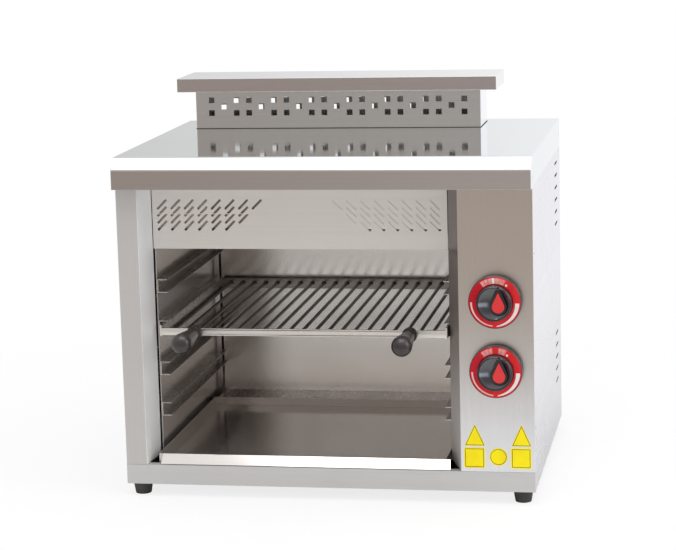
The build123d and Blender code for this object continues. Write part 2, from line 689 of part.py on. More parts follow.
# ---- gas taps: valve body, sprung push collar, spindle, knob, dial ring and pointer ----
y_skirt = y_front - knob_gap
y_dial = y_skirt - skirt_height
y_grip_face = y_dial - grip_height
for name, z_tap in zip(("lower", "upper"), z_taps):
    with BuildPart() as valve:
        with BuildSketch(Plane.XZ.offset(-y_panel_back)):
            with Locations((x_tap, z_tap)):
                Circle(bonnet_radius)
        extrude(amount=-bonnet_depth)
        rail_box(
            x_tap - valve_width / 2,
            x_tap + valve_width / 2,
            y_panel_back + bonnet_depth,
            y_panel_back + bonnet_depth + valve_depth,
            z_tap - valve_width / 2,
            z_tap + valve_width / 2,
        )
        with Locations(Plane((x_tap, y_panel_back, z_tap), z_dir=(0, -1, 0))):
            Hole(radius=collar_radius + collar_clearance, depth=bonnet_depth)
            Hole(radius=spindle_radius + spindle_clearance, depth=bonnet_depth + valve_depth * 0.6)
    valve.part.label = f"valve_{name}"
    export_step(valve.part, f"parts/valve_{name}.step")

    with BuildPart() as collar:
        with BuildSketch(Plane.XZ.offset(-y_panel_back - fit_gap)):
            with Locations((x_tap, z_tap)):
                Circle(collar_radius)
                Circle(spindle_radius + spindle_clearance, mode=Mode.SUBTRACT)
        extrude(amount=-collar_thick)
    collar.part.label = f"push_collar_{name}"
    export_step(collar.part, f"parts/push_collar_{name}.step")

    y_seat = y_dial + skirt_height * 0.4
    with BuildPart() as spindle:
        with BuildSketch(Plane.XZ.offset(-y_seat)):
            with Locations((x_tap, z_tap)):
                Circle(spindle_radius)
        extrude(amount=-(y_panel_back + bonnet_depth + valve_depth * 0.6 - tap_push - 1.0 - y_seat))
    spindle.part.label = f"spindle_{name}"
    export_step(spindle.part, f"parts/spindle_{name}.step")

    x_drop = x_tap + insert_aside
    z_drop_low = z_tap + insert_raise - insert_length / 2 + insert_radius
    z_drop_tip = z_tap + insert_raise + insert_length / 2 - insert_tip_radius
    knob_plane = Plane(origin=(x_tap, y_skirt, z_tap), x_dir=(1, 0, 0), z_dir=(0, 0, 1))
    with BuildPart() as knob:
        with BuildSketch(knob_plane):
            with BuildLine():
                Polyline(
                    (0.0, 0.0),
                    (skirt_radius - skirt_edge, 0.0),
                    (skirt_radius, -skirt_edge),
                    (skirt_radius, -skirt_height + skirt_edge),
                    (skirt_radius - skirt_edge, -skirt_height),
                    (skirt_radius - skirt_edge, -skirt_height + dial_thick),
                    (dial_inner_radius, -skirt_height + dial_thick),
                    (grip_radius + 0.5, -skirt_height - 1.0),
                    (grip_radius, -skirt_height - grip_height + 1.5),
                    (grip_radius - 1.5, -skirt_height - grip_height),
                    (0.0, -skirt_height - grip_height),
                    close=True,
                )
            make_face()
        revolve(axis=Axis((x_tap, y_skirt, z_tap), (0, 1, 0)))
        # the front is scooped out round a raised drop-shaped ridge whose tip meets the wall
        with BuildSketch(Plane.XZ.offset(-y_grip_face)) as scoop:
            with Locations((x_tap, z_tap)):
                Circle(grip_radius - grip_wall)
        with BuildSketch(Plane.XZ.offset(-y_grip_face)) as ridge:
            with Locations((x_drop, z_drop_low)):
                Circle(insert_radius + ridge_margin)
            with Locations((x_drop, z_tap + grip_radius - grip_wall)):
                Circle(ridge_margin * 0.6)
            make_hull()
        extrude(scoop.sketch - ridge.sketch, amount=-scoop_depth, mode=Mode.SUBTRACT)
        # pocket for the red drop
        with BuildSketch(Plane.XZ.offset(-y_grip_face)):
            with Locations((x_drop, z_drop_low)):
                Circle(insert_radius)
            with Locations((x_drop, z_drop_tip)):
                Circle(insert_tip_radius)
            make_hull()
        extrude(amount=-insert_thick, mode=Mode.SUBTRACT)
        # hollow behind, with a boss round the spindle
        with BuildSketch(Plane.XZ.offset(-y_skirt)):
            with Locations((x_tap, z_tap)):
                Circle(skirt_radius - grip_wall)
                Circle(spindle_radius + boss_wall, mode=Mode.SUBTRACT)
        extrude(amount=skirt_height - dial_thick - web, mode=Mode.SUBTRACT)
        with Locations(Plane((x_tap, y_skirt, z_tap), z_dir=(0, 1, 0))):
            Hole(radius=spindle_radius, depth=y_skirt - y_seat)
    knob.part.label = f"knob_{name}"
    export_step(knob.part, f"parts/knob_{name}.step")

    with BuildPart() as dial:
        with BuildSketch(Plane.XZ.offset(-y_dial - dial_thick)):
            with Locations((x_tap, z_tap)):
                Circle(skirt_radius - skirt_edge)
                Circle(dial_inner_radius, mode=Mode.SUBTRACT)
        extrude(amount=dial_thick)
    dial.part.label = f"dial_ring_{name}"
    export_step(dial.part, f"parts/dial_ring_{name}.step")

    # red drop in its pocket on the ridge, standing slightly proud
    with BuildPart() as pointer:
        with BuildSketch(Plane.XZ.offset(-y_grip_face + insert_proud)):
            with Locations((x_drop, z_drop_low)):
                Circle(insert_radius)
            with Locations((x_drop, z_drop_tip)):
                Circle(insert_tip_radius)
            make_hull()
        extrude(amount=-insert_thick - insert_proud)
    pointer.part.label = f"pointer_{name}"
    export_step(pointer.part, f"parts/pointer_{name}.step")

# ---- gas line: inlet union at the back, pipe forward and up past both valves ----
y_valve_back = y_panel_back + bonnet_depth + valve_depth
y_manifold = y_valve_back - valve_depth / 2
y_inlet = y_back - sheet - inlet_seat
with BuildPart() as gas_manifold:
    with BuildLine():
        FilletPolyline(
            (x_inlet, y_inlet, z_inlet),
            (x_inlet, y_manifold, z_inlet),
            (x_inlet, y_manifold, z_taps[1] + 10.0),
            radius=pipe_bend,
        )
    with BuildSketch(Plane.XZ.offset(-y_inlet)):
        with Locations((x_inlet, z_inlet)):
            Circle(pipe_radius)
    sweep()
    # side branches into the valves
    for z_tap in z_taps:
        with BuildSketch(Plane.YZ.offset(x_inlet)):
            with Locations((y_manifold, z_tap)):
                Circle(pipe_radius * 0.7)
        extrude(amount=-(x_inlet - x_tap - valve_width / 2))
gas_manifold.part.label = "gas_manifold"
export_step(gas_manifold.part, "parts/gas_manifold.step")

with BuildPart() as gas_inlet:
    with BuildSketch(Plane.XZ.offset(-y_inlet)):
        with Locations((x_inlet, z_inlet)):
            Circle(inlet_radius)
    extrude(amount=-(y_back + inlet_reach - y_inlet))
    with BuildSketch(Plane.XZ.offset(-y_back)):
        with Locations((x_inlet, z_inlet)):
            RegularPolygon(nut_across / 2, 6, major_radius=False)
    extrude(amount=-7.0)
    with Locations(Plane((x_inlet, y_back + inlet_reach, z_inlet), z_dir=(0, 1, 0))):
        Hole(radius=6.0, depth=inlet_reach * 0.9)
gas_inlet.part.label = "gas_inlet"
export_step(gas_inlet.part, "parts/gas_inlet.step")

# ---- burners: pressed box with a rim, ceramic plaques, venturi, injector and feed pipe ----
x_venturi_end = x_wall_right + venturi_length
for index, name in enumerate(("front", "rear")):
    y_burner = burner_ys[index]
    with BuildPart() as burner_box:
        with Locations((x_burner, y_burner, z_burner + burner_height / 2)):
            Box(burner_width, burner_depth, burner_height)
        offset(amount=-sheet, openings=burner_box.faces().sort_by(Axis.Z)[0])
        # rim that the plaques rest on
        with BuildSketch(Plane.XY.offset(z_burner)):
            with Locations((x_burner, y_burner)):
                Rectangle(burner_width, burner_depth)
                Rectangle(burner_width - 2 * burner_rim, burner_depth - 2 * burner_rim, mode=Mode.SUBTRACT)
        extrude(amount=sheet)
        with Locations(Plane((x_burner + burner_width / 2, y_burner, z_venturi), z_dir=(1, 0, 0))):
            Hole(radius=venturi_radius, depth=3 * sheet)
    burner_box.part.label = f"burner_box_{name}"
    export_step(burner_box.part, f"parts/burner_box_{name}.step")

    plaque_width = burner_width - 2 * sheet
    plaque_depth = burner_depth - 2 * sheet
    with BuildPart() as plaques:
        with Locations((x_burner, y_burner, z_burner + sheet + plaque_thick / 2)):
            Box(plaque_width, plaque_depth, plaque_thick)
        for joint in range(1, plaque_tiles):
            x_joint = x_burner - plaque_width / 2 + plaque_width * joint / plaque_tiles
            with Locations((x_joint, y_burner, z_burner + sheet + plaque_groove / 2)):
                Box(plaque_groove, plaque_depth, plaque_groove, mode=Mode.SUBTRACT)
    plaques.part.label = f"plaques_{name}"
    export_step(plaques.part, f"parts/plaques_{name}.step")

    x_inside = x_burner + burner_width / 2 - 2 * sheet
    with BuildPart() as venturi:
        with BuildSketch(Plane(origin=(x_inside, y_burner, z_venturi), x_dir=(1, 0, 0), z_dir=(0, 0, 1))):
            with BuildLine():
                Polyline(
                    (0.0, 0.0),
                    (0.0, venturi_radius),
                    (x_wall_right + 3 * sheet - x_inside, venturi_radius),
                    (x_venturi_end - x_inside - venturi_flare, venturi_radius),
                    (x_venturi_end - x_inside, venturi_mouth),
                    (x_venturi_end - x_inside, 0.0),
                    close=True,
                )
            make_face()
        revolve(axis=Axis((x_inside, y_burner, z_venturi), (1, 0, 0)))
        offset(
            amount=-sheet,
            openings=venturi.faces().filter_by(Plane.YZ).sort_by(Axis.X)[0::1],
        )
        # strap that carries the injector in front of the mouth
        strap_half = venturi_mouth - 0.4
        strap_end = x_venturi_end + strap_reach
        with BuildSketch(Plane.XY.offset(z_venturi - strap_width / 2)):
            with BuildLine():
                Polyline(
                    (x_venturi_end - sheet, y_burner - strap_half),
                    (strap_end, y_burner - strap_half),
                    (strap_end, y_burner + strap_half),
                    (x_venturi_end - sheet, y_burner + strap_half),
                    (x_venturi_end - sheet, y_burner + strap_half - strap_thick),
                    (strap_end - strap_thick, y_burner + strap_half - strap_thick),
                    (strap_end - strap_thick, y_burner - strap_half + strap_thick),
                    (x_venturi_end - sheet, y_burner - strap_half + strap_thick),
                    close=True,
                )
            make_face()
        extrude(amount=strap_width)
    venturi.part.label = f"venturi_{name}"
    export_step(venturi.part, f"parts/venturi_{name}.step")

    # feed pipe with its injector, from the back of the valve up to the venturi mouth
    z_valve = z_taps[1 - index]
    x_feed = x_venturi_end + strap_reach
    with BuildPart() as feed:
        with BuildLine():
            FilletPolyline(
                (x_tap, y_valve_back, z_valve),
                (x_tap, y_burner, z_valve),
                (x_tap, y_burner, z_venturi),
                (x_feed, y_burner, z_venturi),
                radius=feed_bend,
            )
        with BuildSketch(Plane.XZ.offset(-y_valve_back)):
            with Locations((x_tap, z_valve)):
                Circle(feed_radius)
        sweep()
    feed.part.label = f"feed_pipe_{name}"
    export_step(feed.part, f"parts/feed_pipe_{name}.step")

# ---- feet: tapered rubber buffers ----
for row, y_foot in (("front", y_front + foot_inset), ("back", y_back - foot_inset)):
    for side, x_foot in (("left", x_left + foot_inset), ("right", x_right - foot_inset)):
        with BuildPart() as foot:
            with BuildSketch(Plane.XY.offset(z_base)):
                with Locations((x_foot, y_foot)):
                    Circle(foot_top_radius)
            with BuildSketch(Plane.XY):
                with Locations((x_foot, y_foot)):
                    Circle(foot_toe_radius)
            loft()
        foot.part.label = f"foot_{row}_{side}"
        export_step(foot.part, f"parts/foot_{row}_{side}.step")
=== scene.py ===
"""Studio scene of a countertop gas cheese melter: stainless sheet-steel cabinet, pull-out
rack on guides, drip tray, perforated flue and two gas taps. Metres, +Z up, the open front
faces -Y.
"""

import json
import math

import bmesh
import bpy
from mathutils import Matrix, Vector

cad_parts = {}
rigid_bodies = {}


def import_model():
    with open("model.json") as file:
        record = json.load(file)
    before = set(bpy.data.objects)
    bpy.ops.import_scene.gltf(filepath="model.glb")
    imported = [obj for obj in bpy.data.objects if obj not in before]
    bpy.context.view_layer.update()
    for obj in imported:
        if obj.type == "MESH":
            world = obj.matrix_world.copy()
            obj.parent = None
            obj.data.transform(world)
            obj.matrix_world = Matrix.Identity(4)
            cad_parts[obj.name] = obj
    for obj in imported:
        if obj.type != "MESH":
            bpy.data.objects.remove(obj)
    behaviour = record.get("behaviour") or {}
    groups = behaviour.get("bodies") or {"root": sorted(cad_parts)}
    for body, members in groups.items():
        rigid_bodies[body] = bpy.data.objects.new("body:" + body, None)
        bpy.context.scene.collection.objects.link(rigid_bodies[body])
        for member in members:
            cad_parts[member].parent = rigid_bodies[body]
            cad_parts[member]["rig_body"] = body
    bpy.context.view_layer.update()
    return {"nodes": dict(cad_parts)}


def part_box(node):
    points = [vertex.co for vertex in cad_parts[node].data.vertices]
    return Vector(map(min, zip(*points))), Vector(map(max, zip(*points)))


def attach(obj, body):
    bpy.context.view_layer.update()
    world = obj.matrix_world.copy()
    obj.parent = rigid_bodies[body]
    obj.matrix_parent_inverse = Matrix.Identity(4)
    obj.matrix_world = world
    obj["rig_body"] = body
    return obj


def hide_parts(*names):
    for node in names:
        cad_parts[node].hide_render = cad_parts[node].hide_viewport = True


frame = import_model()

# ---- camera ----
# A long lens stands to the right of the appliance and above it, so that the cover, the
# right side and the open front all show. The frame is 676 by 550.
camera_place = Vector((0.59407, -3.34239, 0.90220))
camera_yaw = math.radians(10.364)
camera_pitch = math.radians(10.1876)
camera_roll = math.radians(-1.5032)

camera = bpy.data.objects.new("camera", bpy.data.cameras.new("camera"))
camera.data.sensor_width = 36.0
camera.data.lens = 120.99
camera.matrix_world = (
    Matrix.Translation(camera_place)
    @ Matrix.Rotation(camera_yaw, 4, "Z")
    @ Matrix.Rotation(math.pi / 2 - camera_pitch, 4, "X")
    @ Matrix.Rotation(camera_roll, 4, "Z")
)
bpy.context.scene.collection.objects.link(camera)
bpy.context.scene.camera = camera
bpy.context.scene.view_settings.view_transform = "Standard"

# ---- studio walls and ceiling ----
# The room is white where it is seen directly. Steel mirrors it too: white above, behind and
# to the right, and greyer on the side where the camera stands.
daylight_level = 0.72
front_grey = (0.50, 0.455, 0.42, 1.0)
left_grey = (0.66, 0.66, 0.66, 1.0)


def add_node(tree, kind, **settings):
    """A shader node of that kind. A setting named in_SOCKET fills an input."""
    node = tree.nodes.new("ShaderNode" + kind)
    for name, value in settings.items():
        if name.startswith("in_"):
            key = name[3:]
            node.inputs[int(key) if key.isdigit() else key.replace("_", " ")].default_value = value
        else:
            setattr(node, name, value)
    return node


def ramp_between(tree, source, low, high):
    """A smooth 0 to 1 mask while the source value goes from low to high."""
    node = add_node(tree, "MapRange", interpolation_type="SMOOTHSTEP", in_1=low, in_2=high)
    tree.links.new(source, node.inputs[0])
    return node.outputs[0]


def mix_colours(tree, mask, first, second):
    """Colour that goes from first to second with the mask; each is a colour or a socket."""
    node = add_node(tree, "Mix", data_type="RGBA")
    for value, index in ((mask, 0), (first, 6), (second, 7)):
        socket = node.inputs[index]
        if isinstance(value, bpy.types.NodeSocket):
            tree.links.new(value, socket)
        else:
            socket.default_value = value
    return node.outputs[2]


def axes_of(tree, source):
    """X, Y and Z of a coordinate: Object is the place, Normal the way the surface faces."""
    node = add_node(tree, "SeparateXYZ")
    tree.links.new(add_node(tree, "TexCoord").outputs[source], node.inputs[0])
    return node.outputs


world = bpy.data.worlds.new("studio")
bpy.context.scene.world = world
world.use_nodes = True
room = world.node_tree
room.nodes.clear()
direction = axes_of(room, "Generated")
white = (1.0, 1.0, 1.0, 1.0)
mirrored = white
for axis, start, full, tone in (
    ("X", 0.05, -0.35, left_grey), ("Y", -0.2, -0.8, front_grey), ("Z", 0.35, 0.8, white),
):
    mirrored = mix_colours(room, ramp_between(room, direction[axis], start, full), mirrored, tone)
ray = add_node(room, "LightPath")
daylight = (daylight_level, daylight_level, daylight_level, 1.0)
seen = mix_colours(room, ray.outputs["Is Glossy Ray"], daylight, mirrored)
seen = mix_colours(room, ray.outputs["Is Transmission Ray"], seen, white)
seen = mix_colours(room, ray.outputs["Is Camera Ray"], seen, white)
sky = add_node(room, "Background")
room.links.new(seen, sky.inputs["Color"])
room.links.new(sky.outputs[0], add_node(room, "OutputWorld").inputs[0])

# ---- soft lamps ----
# One wide softbox hangs over the appliance and a second one stands to its right. Both are
# plain white and weak, so that no pale surface clips.
lamps = (
    ("overhead_softbox", (0.2, -0.5, 2.3), (0.0, 0.0, 0.2), (2.0, 1.6), 26.0),
    ("right_softbox", (2.3, -0.6, 1.3), (0.0, 0.0, 0.25), (1.4, 1.4), 12.0),
)
for name, place, aim, size, power in lamps:
    lamp = bpy.data.objects.new(name, bpy.data.lights.new(name, "AREA"))
    lamp.data.shape = "RECTANGLE"
    lamp.data.size, lamp.data.size_y = size
    lamp.data.energy = power
    lamp.location = place
    lamp.rotation_euler = (Vector(aim) - Vector(place)).to_track_quat("-Z", "Y").to_euler()
    bpy.context.scene.collection.objects.link(lamp)

# ---- floor ----
# A round white table top that fades out, so that the steel mirrors white near its foot
# and the grey of the room further away. Seen directly it is bleached, with a faint shadow.
floor_radius = 1.3
floor_fade = 0.45
floor_white = (0.93, 0.93, 0.93, 1.0)
floor_bleach = 0.8


def new_material(name):
    """A material with its node tree and a Principled shader joined to its output."""
    material = bpy.data.materials.new(name)
    material.use_nodes = True
    tree = material.node_tree
    tree.nodes.clear()
    output = add_node(tree, "OutputMaterial")
    shader = add_node(tree, "BsdfPrincipled")
    tree.links.new(shader.outputs[0], output.inputs[0])
    return material, tree, shader


def node_of(material, kind):
    """The one node of that kind in a material, such as its shader or its relief."""
    return next(node for node in material.node_tree.nodes if node.type == kind)


def mesh_from(built, name, material=None):
    """A mesh of what was built, with its material; the building mesh is freed."""
    mesh = bpy.data.meshes.new(name)
    built.to_mesh(mesh)
    built.free()
    if material:
        mesh.materials.append(material)
    return mesh


def link_object(name, mesh):
    """An object for a mesh, linked to the scene."""
    made = bpy.data.objects.new(name, mesh)
    bpy.context.scene.collection.objects.link(made)
    return made


floor_material, tree, shader = new_material("white_table_top")
shader.inputs["Base Color"].default_value = floor_white
shader.inputs["Roughness"].default_value = 0.9
shader.inputs["Specular IOR Level"].default_value = 0.1
from_centre = add_node(tree, "VectorMath", operation="LENGTH")
tree.links.new(add_node(tree, "TexCoord").outputs["Object"], from_centre.inputs[0])
fade = ramp_between(tree, from_centre.outputs["Value"], floor_fade, floor_radius)
bleach = add_node(tree, "Math", operation="MULTIPLY", in_1=floor_bleach)
tree.links.new(add_node(tree, "LightPath").outputs["Is Camera Ray"], bleach.inputs[0])
seen_floor = add_node(tree, "MixShader")
tree.links.new(bleach.outputs[0], seen_floor.inputs[0])
tree.links.new(shader.outputs[0], seen_floor.inputs[1])
tree.links.new(add_node(tree, "Emission", in_Color=white).outputs[0], seen_floor.inputs[2])
edge = add_node(tree, "MixShader")
tree.links.new(fade, edge.inputs[0])
tree.links.new(seen_floor.outputs[0], edge.inputs[1])
tree.links.new(add_node(tree, "BsdfTransparent").outputs[0], edge.inputs[2])
tree.links.new(edge.outputs[0], node_of(floor_material, "OUTPUT_MATERIAL").inputs[0])

disc = bmesh.new()
bmesh.ops.create_circle(disc, cap_ends=True, segments=96, radius=floor_radius)
floor = link_object("floor", mesh_from(disc, "floor", floor_material))

# ---- base pan and the plain sheets of the body ----
# Everything here is folded from 1.2 mm stainless sheet with a fine directional grain, its
# cut edges rolled over slightly, and spot welded or screwed together.


def srgb(red, green, blue):
    """Linear colour, with alpha, from display values of 0 to 255."""
    shown = (red, green, blue)
    return tuple(((v / 255 + 0.055) / 1.055) ** 2.4 if v > 10 else v / 3295 for v in shown) + (1.0,)


def shaded(colour, share):
    """The colour darkened to that share of itself."""
    return tuple(v * share for v in colour[:3]) + (1.0,)


def new_group(name, inputs, outputs):
    """A shader node group with named sockets, and its input and output nodes."""
    group = bpy.data.node_groups.new(name, "ShaderNodeTree")
    for label, kind, value in inputs:
        socket = group.interface.new_socket(label, in_out="INPUT", socket_type="NodeSocket" + kind)
        socket.default_value = value
    for label, kind in outputs:
        group.interface.new_socket(label, in_out="OUTPUT", socket_type="NodeSocket" + kind)
    return group, group.nodes.new("NodeGroupInput"), group.nodes.new("NodeGroupOutput")


def use_group(tree, group, **values):
    """The group placed in a material, with the named inputs filled."""
    node = tree.nodes.new("ShaderNodeGroup")
    node.node_tree = group
    for name, value in values.items():
        node.inputs[name.replace("_", " ")].default_value = value
    return node


# grain: hair lines drawn out along one axis, from two noises of different fineness
grain, given, made = new_group(
    "brushed_grain",
    (("Lines", "Vector", (20.0, 1500.0, 1500.0)), ("Contrast", "Float", 0.5)),
    (("Mask", "Float"), ("Height", "Float")),
)
scaled = add_node(grain, "VectorMath", operation="MULTIPLY")
grain.links.new(add_node(grain, "TexCoord").outputs["Object"], scaled.inputs[0])
grain.links.new(given.outputs["Lines"], scaled.inputs[1])
fine = add_node(grain, "TexNoise", in_Scale=1.0, in_Detail=3.0, in_Roughness=0.6)
coarse = add_node(grain, "TexNoise", in_Scale=0.13, in_Detail=2.0, in_Roughness=0.5)
grain.links.new(scaled.outputs[0], fine.inputs["Vector"])
grain.links.new(scaled.outputs[0], coarse.inputs["Vector"])
both = add_node(grain, "Math", operation="ADD")
grain.links.new(fine.outputs["Fac"], both.inputs[0])
grain.links.new(coarse.outputs["Fac"], both.inputs[1])
centred = add_node(grain, "Math", operation="MULTIPLY_ADD", in_1=1.0, in_2=-0.5)
grain.links.new(both.outputs[0], centred.inputs[0])
spread = add_node(grain, "Math", operation="MULTIPLY", use_clamp=True)
grain.links.new(centred.outputs[0], spread.inputs[0])
grain.links.new(given.outputs["Contrast"], spread.inputs[1])
grain.links.new(spread.outputs[0], made.inputs["Mask"])
grain.links.new(fine.outputs["Fac"], made.inputs["Height"])

# handling: soft cloudy marks left by wiping and fingers
handling, given, made = new_group(
    "handling_marks",
    (("Scale", "Float", 9.0), ("Low", "Float", 0.45), ("High", "Float", 0.75)),
    (("Mask", "Float"),),
)
clouds = add_node(handling, "TexNoise", in_Detail=4.0, in_Roughness=0.55, in_Distortion=0.6)
handling.links.new(add_node(handling, "TexCoord").outputs["Object"], clouds.inputs["Vector"])
handling.links.new(given.outputs["Scale"], clouds.inputs["Scale"])
marks = add_node(handling, "MapRange", interpolation_type="SMOOTHSTEP")
handling.links.new(clouds.outputs["Fac"], marks.inputs[0])
handling.links.new(given.outputs["Low"], marks.inputs[1])
handling.links.new(given.outputs["High"], marks.inputs[2])
handling.links.new(marks.outputs[0], made.inputs["Mask"])

along_x = (18.0, 1600.0, 1600.0)
along_y = (1600.0, 18.0, 1600.0)
along_z = (1600.0, 1600.0, 18.0)
line_contrast = 0.9


def remap(tree, mask, low, high):
    """A value that goes from low to high with the mask."""
    node = add_node(tree, "MapRange", in_3=low, in_4=high)
    tree.links.new(mask, node.inputs[0])
    return node.outputs[0]


def steel_sheet(name, colour, lines, roughness, metal=1.0, line_shade=0.93, mark_shade=0.97):
    """Brushed sheet: grain lines and handling marks in its colour, roughness and relief."""
    material, tree, shader = new_material(name)
    hair = use_group(tree, grain, Lines=lines, Contrast=line_contrast)
    marks = use_group(tree, handling)
    wiped = mix_colours(tree, marks.outputs["Mask"], colour, shaded(colour, mark_shade))
    brushed = mix_colours(tree, hair.outputs["Mask"], wiped, shaded(colour, line_shade))
    tree.links.new(brushed, shader.inputs["Base Color"])
    combed = remap(tree, hair.outputs["Mask"], roughness * 0.85, roughness * 1.1)
    smeared = remap(tree, marks.outputs["Mask"], 0.0, roughness * 0.2)
    rough = add_node(tree, "Math", operation="ADD")
    tree.links.new(combed, rough.inputs[0])
    tree.links.new(smeared, rough.inputs[1])
    tree.links.new(rough.outputs[0], shader.inputs["Roughness"])
    relief = add_node(tree, "Bump", in_Strength=0.25, in_Distance=0.00002)
    tree.links.new(hair.outputs["Height"], relief.inputs["Height"])
    tree.links.new(relief.outputs[0], shader.inputs["Normal"])
    shader.inputs["Metallic"].default_value = metal
    return material


def toned(material, axis, low, high, tone, source="Object"):
    """The material, its colour multiplied by a tone that comes in along an axis.

    The axis is of the place in the object or, with the source Normal, of the way it faces.
    """
    tree = material.node_tree
    shader = node_of(material, "BSDF_PRINCIPLED")
    plain = shader.inputs["Base Color"].links[0].from_socket
    tinted = add_node(tree, "Mix", data_type="RGBA", blend_type="MULTIPLY")
    tree.links.new(ramp_between(tree, axes_of(tree, source)[axis], low, high), tinted.inputs[0])
    tree.links.new(plain, tinted.inputs[6])
    tinted.inputs[7].default_value = tone + (1.0,)
    tree.links.new(tinted.outputs[2], shader.inputs["Base Color"])
    return material


def dress(material, *nodes):
    """The CAD nodes shown as they are, with this finish."""
    for node in nodes:
        materials = frame["nodes"][node].data.materials
        materials.clear()
        materials.append(material)


def cut_away(mesh, cutter_mesh):
    """The mesh with the cutter's volume taken out of it."""
    blank, cutter = link_object("blank", mesh), link_object("cutter", cutter_mesh)
    cut = blank.modifiers.new("cut", "BOOLEAN")
    cut.operation = "DIFFERENCE"
    cut.use_self = True
    cut.object = cutter
    finished = blank.evaluated_get(bpy.context.evaluated_depsgraph_get())
    result = bpy.data.meshes.new_from_object(finished)
    bpy.data.objects.remove(blank)
    bpy.data.objects.remove(cutter)
    return result


def seat_at(place, towards):
    """The place and turn of a screw or its pocket, which points out of a face."""
    return Matrix.Translation(place) @ towards.to_track_quat("Z", "Y").to_matrix().to_4x4()


pocket_radius = 0.0036
pocket_depth = 0.0009
bend_angle = math.radians(20)


def rolled_edges(
    node, material, radius=0.0004, plain=True, fold=None, fold_radius=0.003, pockets=(),
):
    """A copy of a CAD node with its sharp edges rolled over, standing for the node.

    Plain pieces have no holes. The edges for which fold is true are rounded first, by the
    fold's own radius. Pockets are the places and directions of sunk screws.
    """
    source = frame["nodes"][node]
    sheet = bmesh.new()
    sheet.from_mesh(source.data)
    bmesh.ops.remove_doubles(sheet, verts=sheet.verts, dist=1e-6)
    if plain:
        bmesh.ops.dissolve_limit(
            sheet, angle_limit=math.radians(0.5), verts=sheet.verts, edges=sheet.edges
        )
    if fold:
        bent = [edge for edge in sheet.edges if edge.calc_face_angle(0.0) > bend_angle]
        folds = [edge for edge in bent if fold(*(corner.co for corner in edge.verts))]
        bmesh.ops.bevel(
            sheet, geom=folds, offset=fold_radius, segments=6, profile=0.5, affect="EDGES"
        )
    for face in sheet.faces:
        face.smooth = True
    mesh = mesh_from(sheet, node + "_finished")
    if pockets:
        drill = bmesh.new()
        for place, towards in pockets:
            bmesh.ops.create_cone(
                drill, cap_ends=True, segments=24, radius1=pocket_radius, radius2=pocket_radius,
                depth=2 * pocket_depth, matrix=seat_at(place, towards),
            )
        mesh = cut_away(mesh, mesh_from(drill, "drill"))
        mesh.name = node + "_finished"
        for face in mesh.polygons:
            face.use_smooth = True
    piece = link_object(node + "_finished", mesh)
    mesh.materials.clear()
    mesh.materials.append(material)
    roll = piece.modifiers.new("rolled_edges", "BEVEL")
    roll.width = radius
    roll.segments = 2
    roll.limit_method = "ANGLE"
    roll.angle_limit = math.radians(30)
    even = piece.modifiers.new("flat_faces", "WEIGHTED_NORMAL")
    even.weight = 100
    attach(piece, source["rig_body"])
    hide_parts(node)
    return piece


base_steel = steel_sheet("base_steel", srgb(204, 203, 202), along_x, 0.40, metal=0.4)
panel_steel = steel_sheet("side_panel_steel", srgb(230, 228, 234), along_y, 0.26)
rear_steel = steel_sheet("back_panel_steel", srgb(230, 228, 234), along_x, 0.26)
# painted shade: the side and back panels are darker towards the bottom
for sheet_steel in (panel_steel, rear_steel):
    toned(sheet_steel, "Z", 0.30, 0.02, (0.80, 0.81, 0.80))
lining_steel = steel_sheet("panel_lining_steel", srgb(240, 230, 224), along_x, 0.5, metal=0.15)
toned(lining_steel, "Z", 0.075, 0.10, (0.10, 0.09, 0.09))
rolled_edges("base_pan", base_steel)
side_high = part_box("right_side_panel")[1]
to_left, to_right = Vector((-1, 0, 0)), Vector((1, 0, 0))
to_back, upwards = Vector((0, 1, 0)), Vector((0, 0, 1))
side_screw_y = -0.1995
side_screw_heights = (0.108, 0.36)
left_screws = [((-side_high.x, side_screw_y, z), to_left) for z in side_screw_heights]
right_screws = [((side_high.x, side_screw_y, z), to_right) for z in side_screw_heights]
rolled_edges("left_side_panel", panel_steel, pockets=left_screws)
rolled_edges("right_side_panel", panel_steel, plain=False, pockets=right_screws)
back_sheet = rolled_edges("back_panel", rear_steel, plain=False).data

# the back panel's inner side is dull and pale at the foot, and higher up, behind the slots, painted
# dark as painted shade
back_sheet.materials.append(lining_steel)
for face in back_sheet.polygons:
    face.material_index = 1 if face.normal.y < -0.9 else 0

# ---- feet ----
# Four tapered buffers of black rubber, moulded with a fine skin and dusty at the toe, each
# held by a screw from inside the base.
skin, given, made = new_group(
    "moulded_skin",
    (("Grain", "Float", 900.0), ("Patch", "Float", 30.0)),
    (("Mask", "Float"), ("Height", "Float")),
)
pits = add_node(skin, "TexNoise", in_Detail=2.0, in_Roughness=0.5)
patches = add_node(skin, "TexNoise", in_Detail=3.0, in_Roughness=0.6)
for texture, socket in ((pits, "Grain"), (patches, "Patch")):
    skin.links.new(add_node(skin, "TexCoord").outputs["Object"], texture.inputs["Vector"])
    skin.links.new(given.outputs[socket], texture.inputs["Scale"])
skin.links.new(ramp_between(skin, patches.outputs["Fac"], 0.4, 0.7), made.inputs["Mask"])
skin.links.new(pits.outputs["Fac"], made.inputs["Height"])


def moulded(name, colour, worn, roughness, worn_roughness, relief_depth=0.00004, patch=30.0):
    """Moulded plastic or rubber: a fine skin, with patches that are duller or shinier."""
    material, tree, shader = new_material(name)
    surface = use_group(tree, skin, Patch=patch)
    mask = surface.outputs["Mask"]
    tree.links.new(mix_colours(tree, mask, colour, worn), shader.inputs["Base Color"])
    tree.links.new(remap(tree, mask, roughness, worn_roughness), shader.inputs["Roughness"])
    relief = add_node(tree, "Bump", in_Strength=0.4, in_Distance=relief_depth)
    tree.links.new(surface.outputs["Height"], relief.inputs["Height"])
    tree.links.new(relief.outputs[0], shader.inputs["Normal"])
    return material


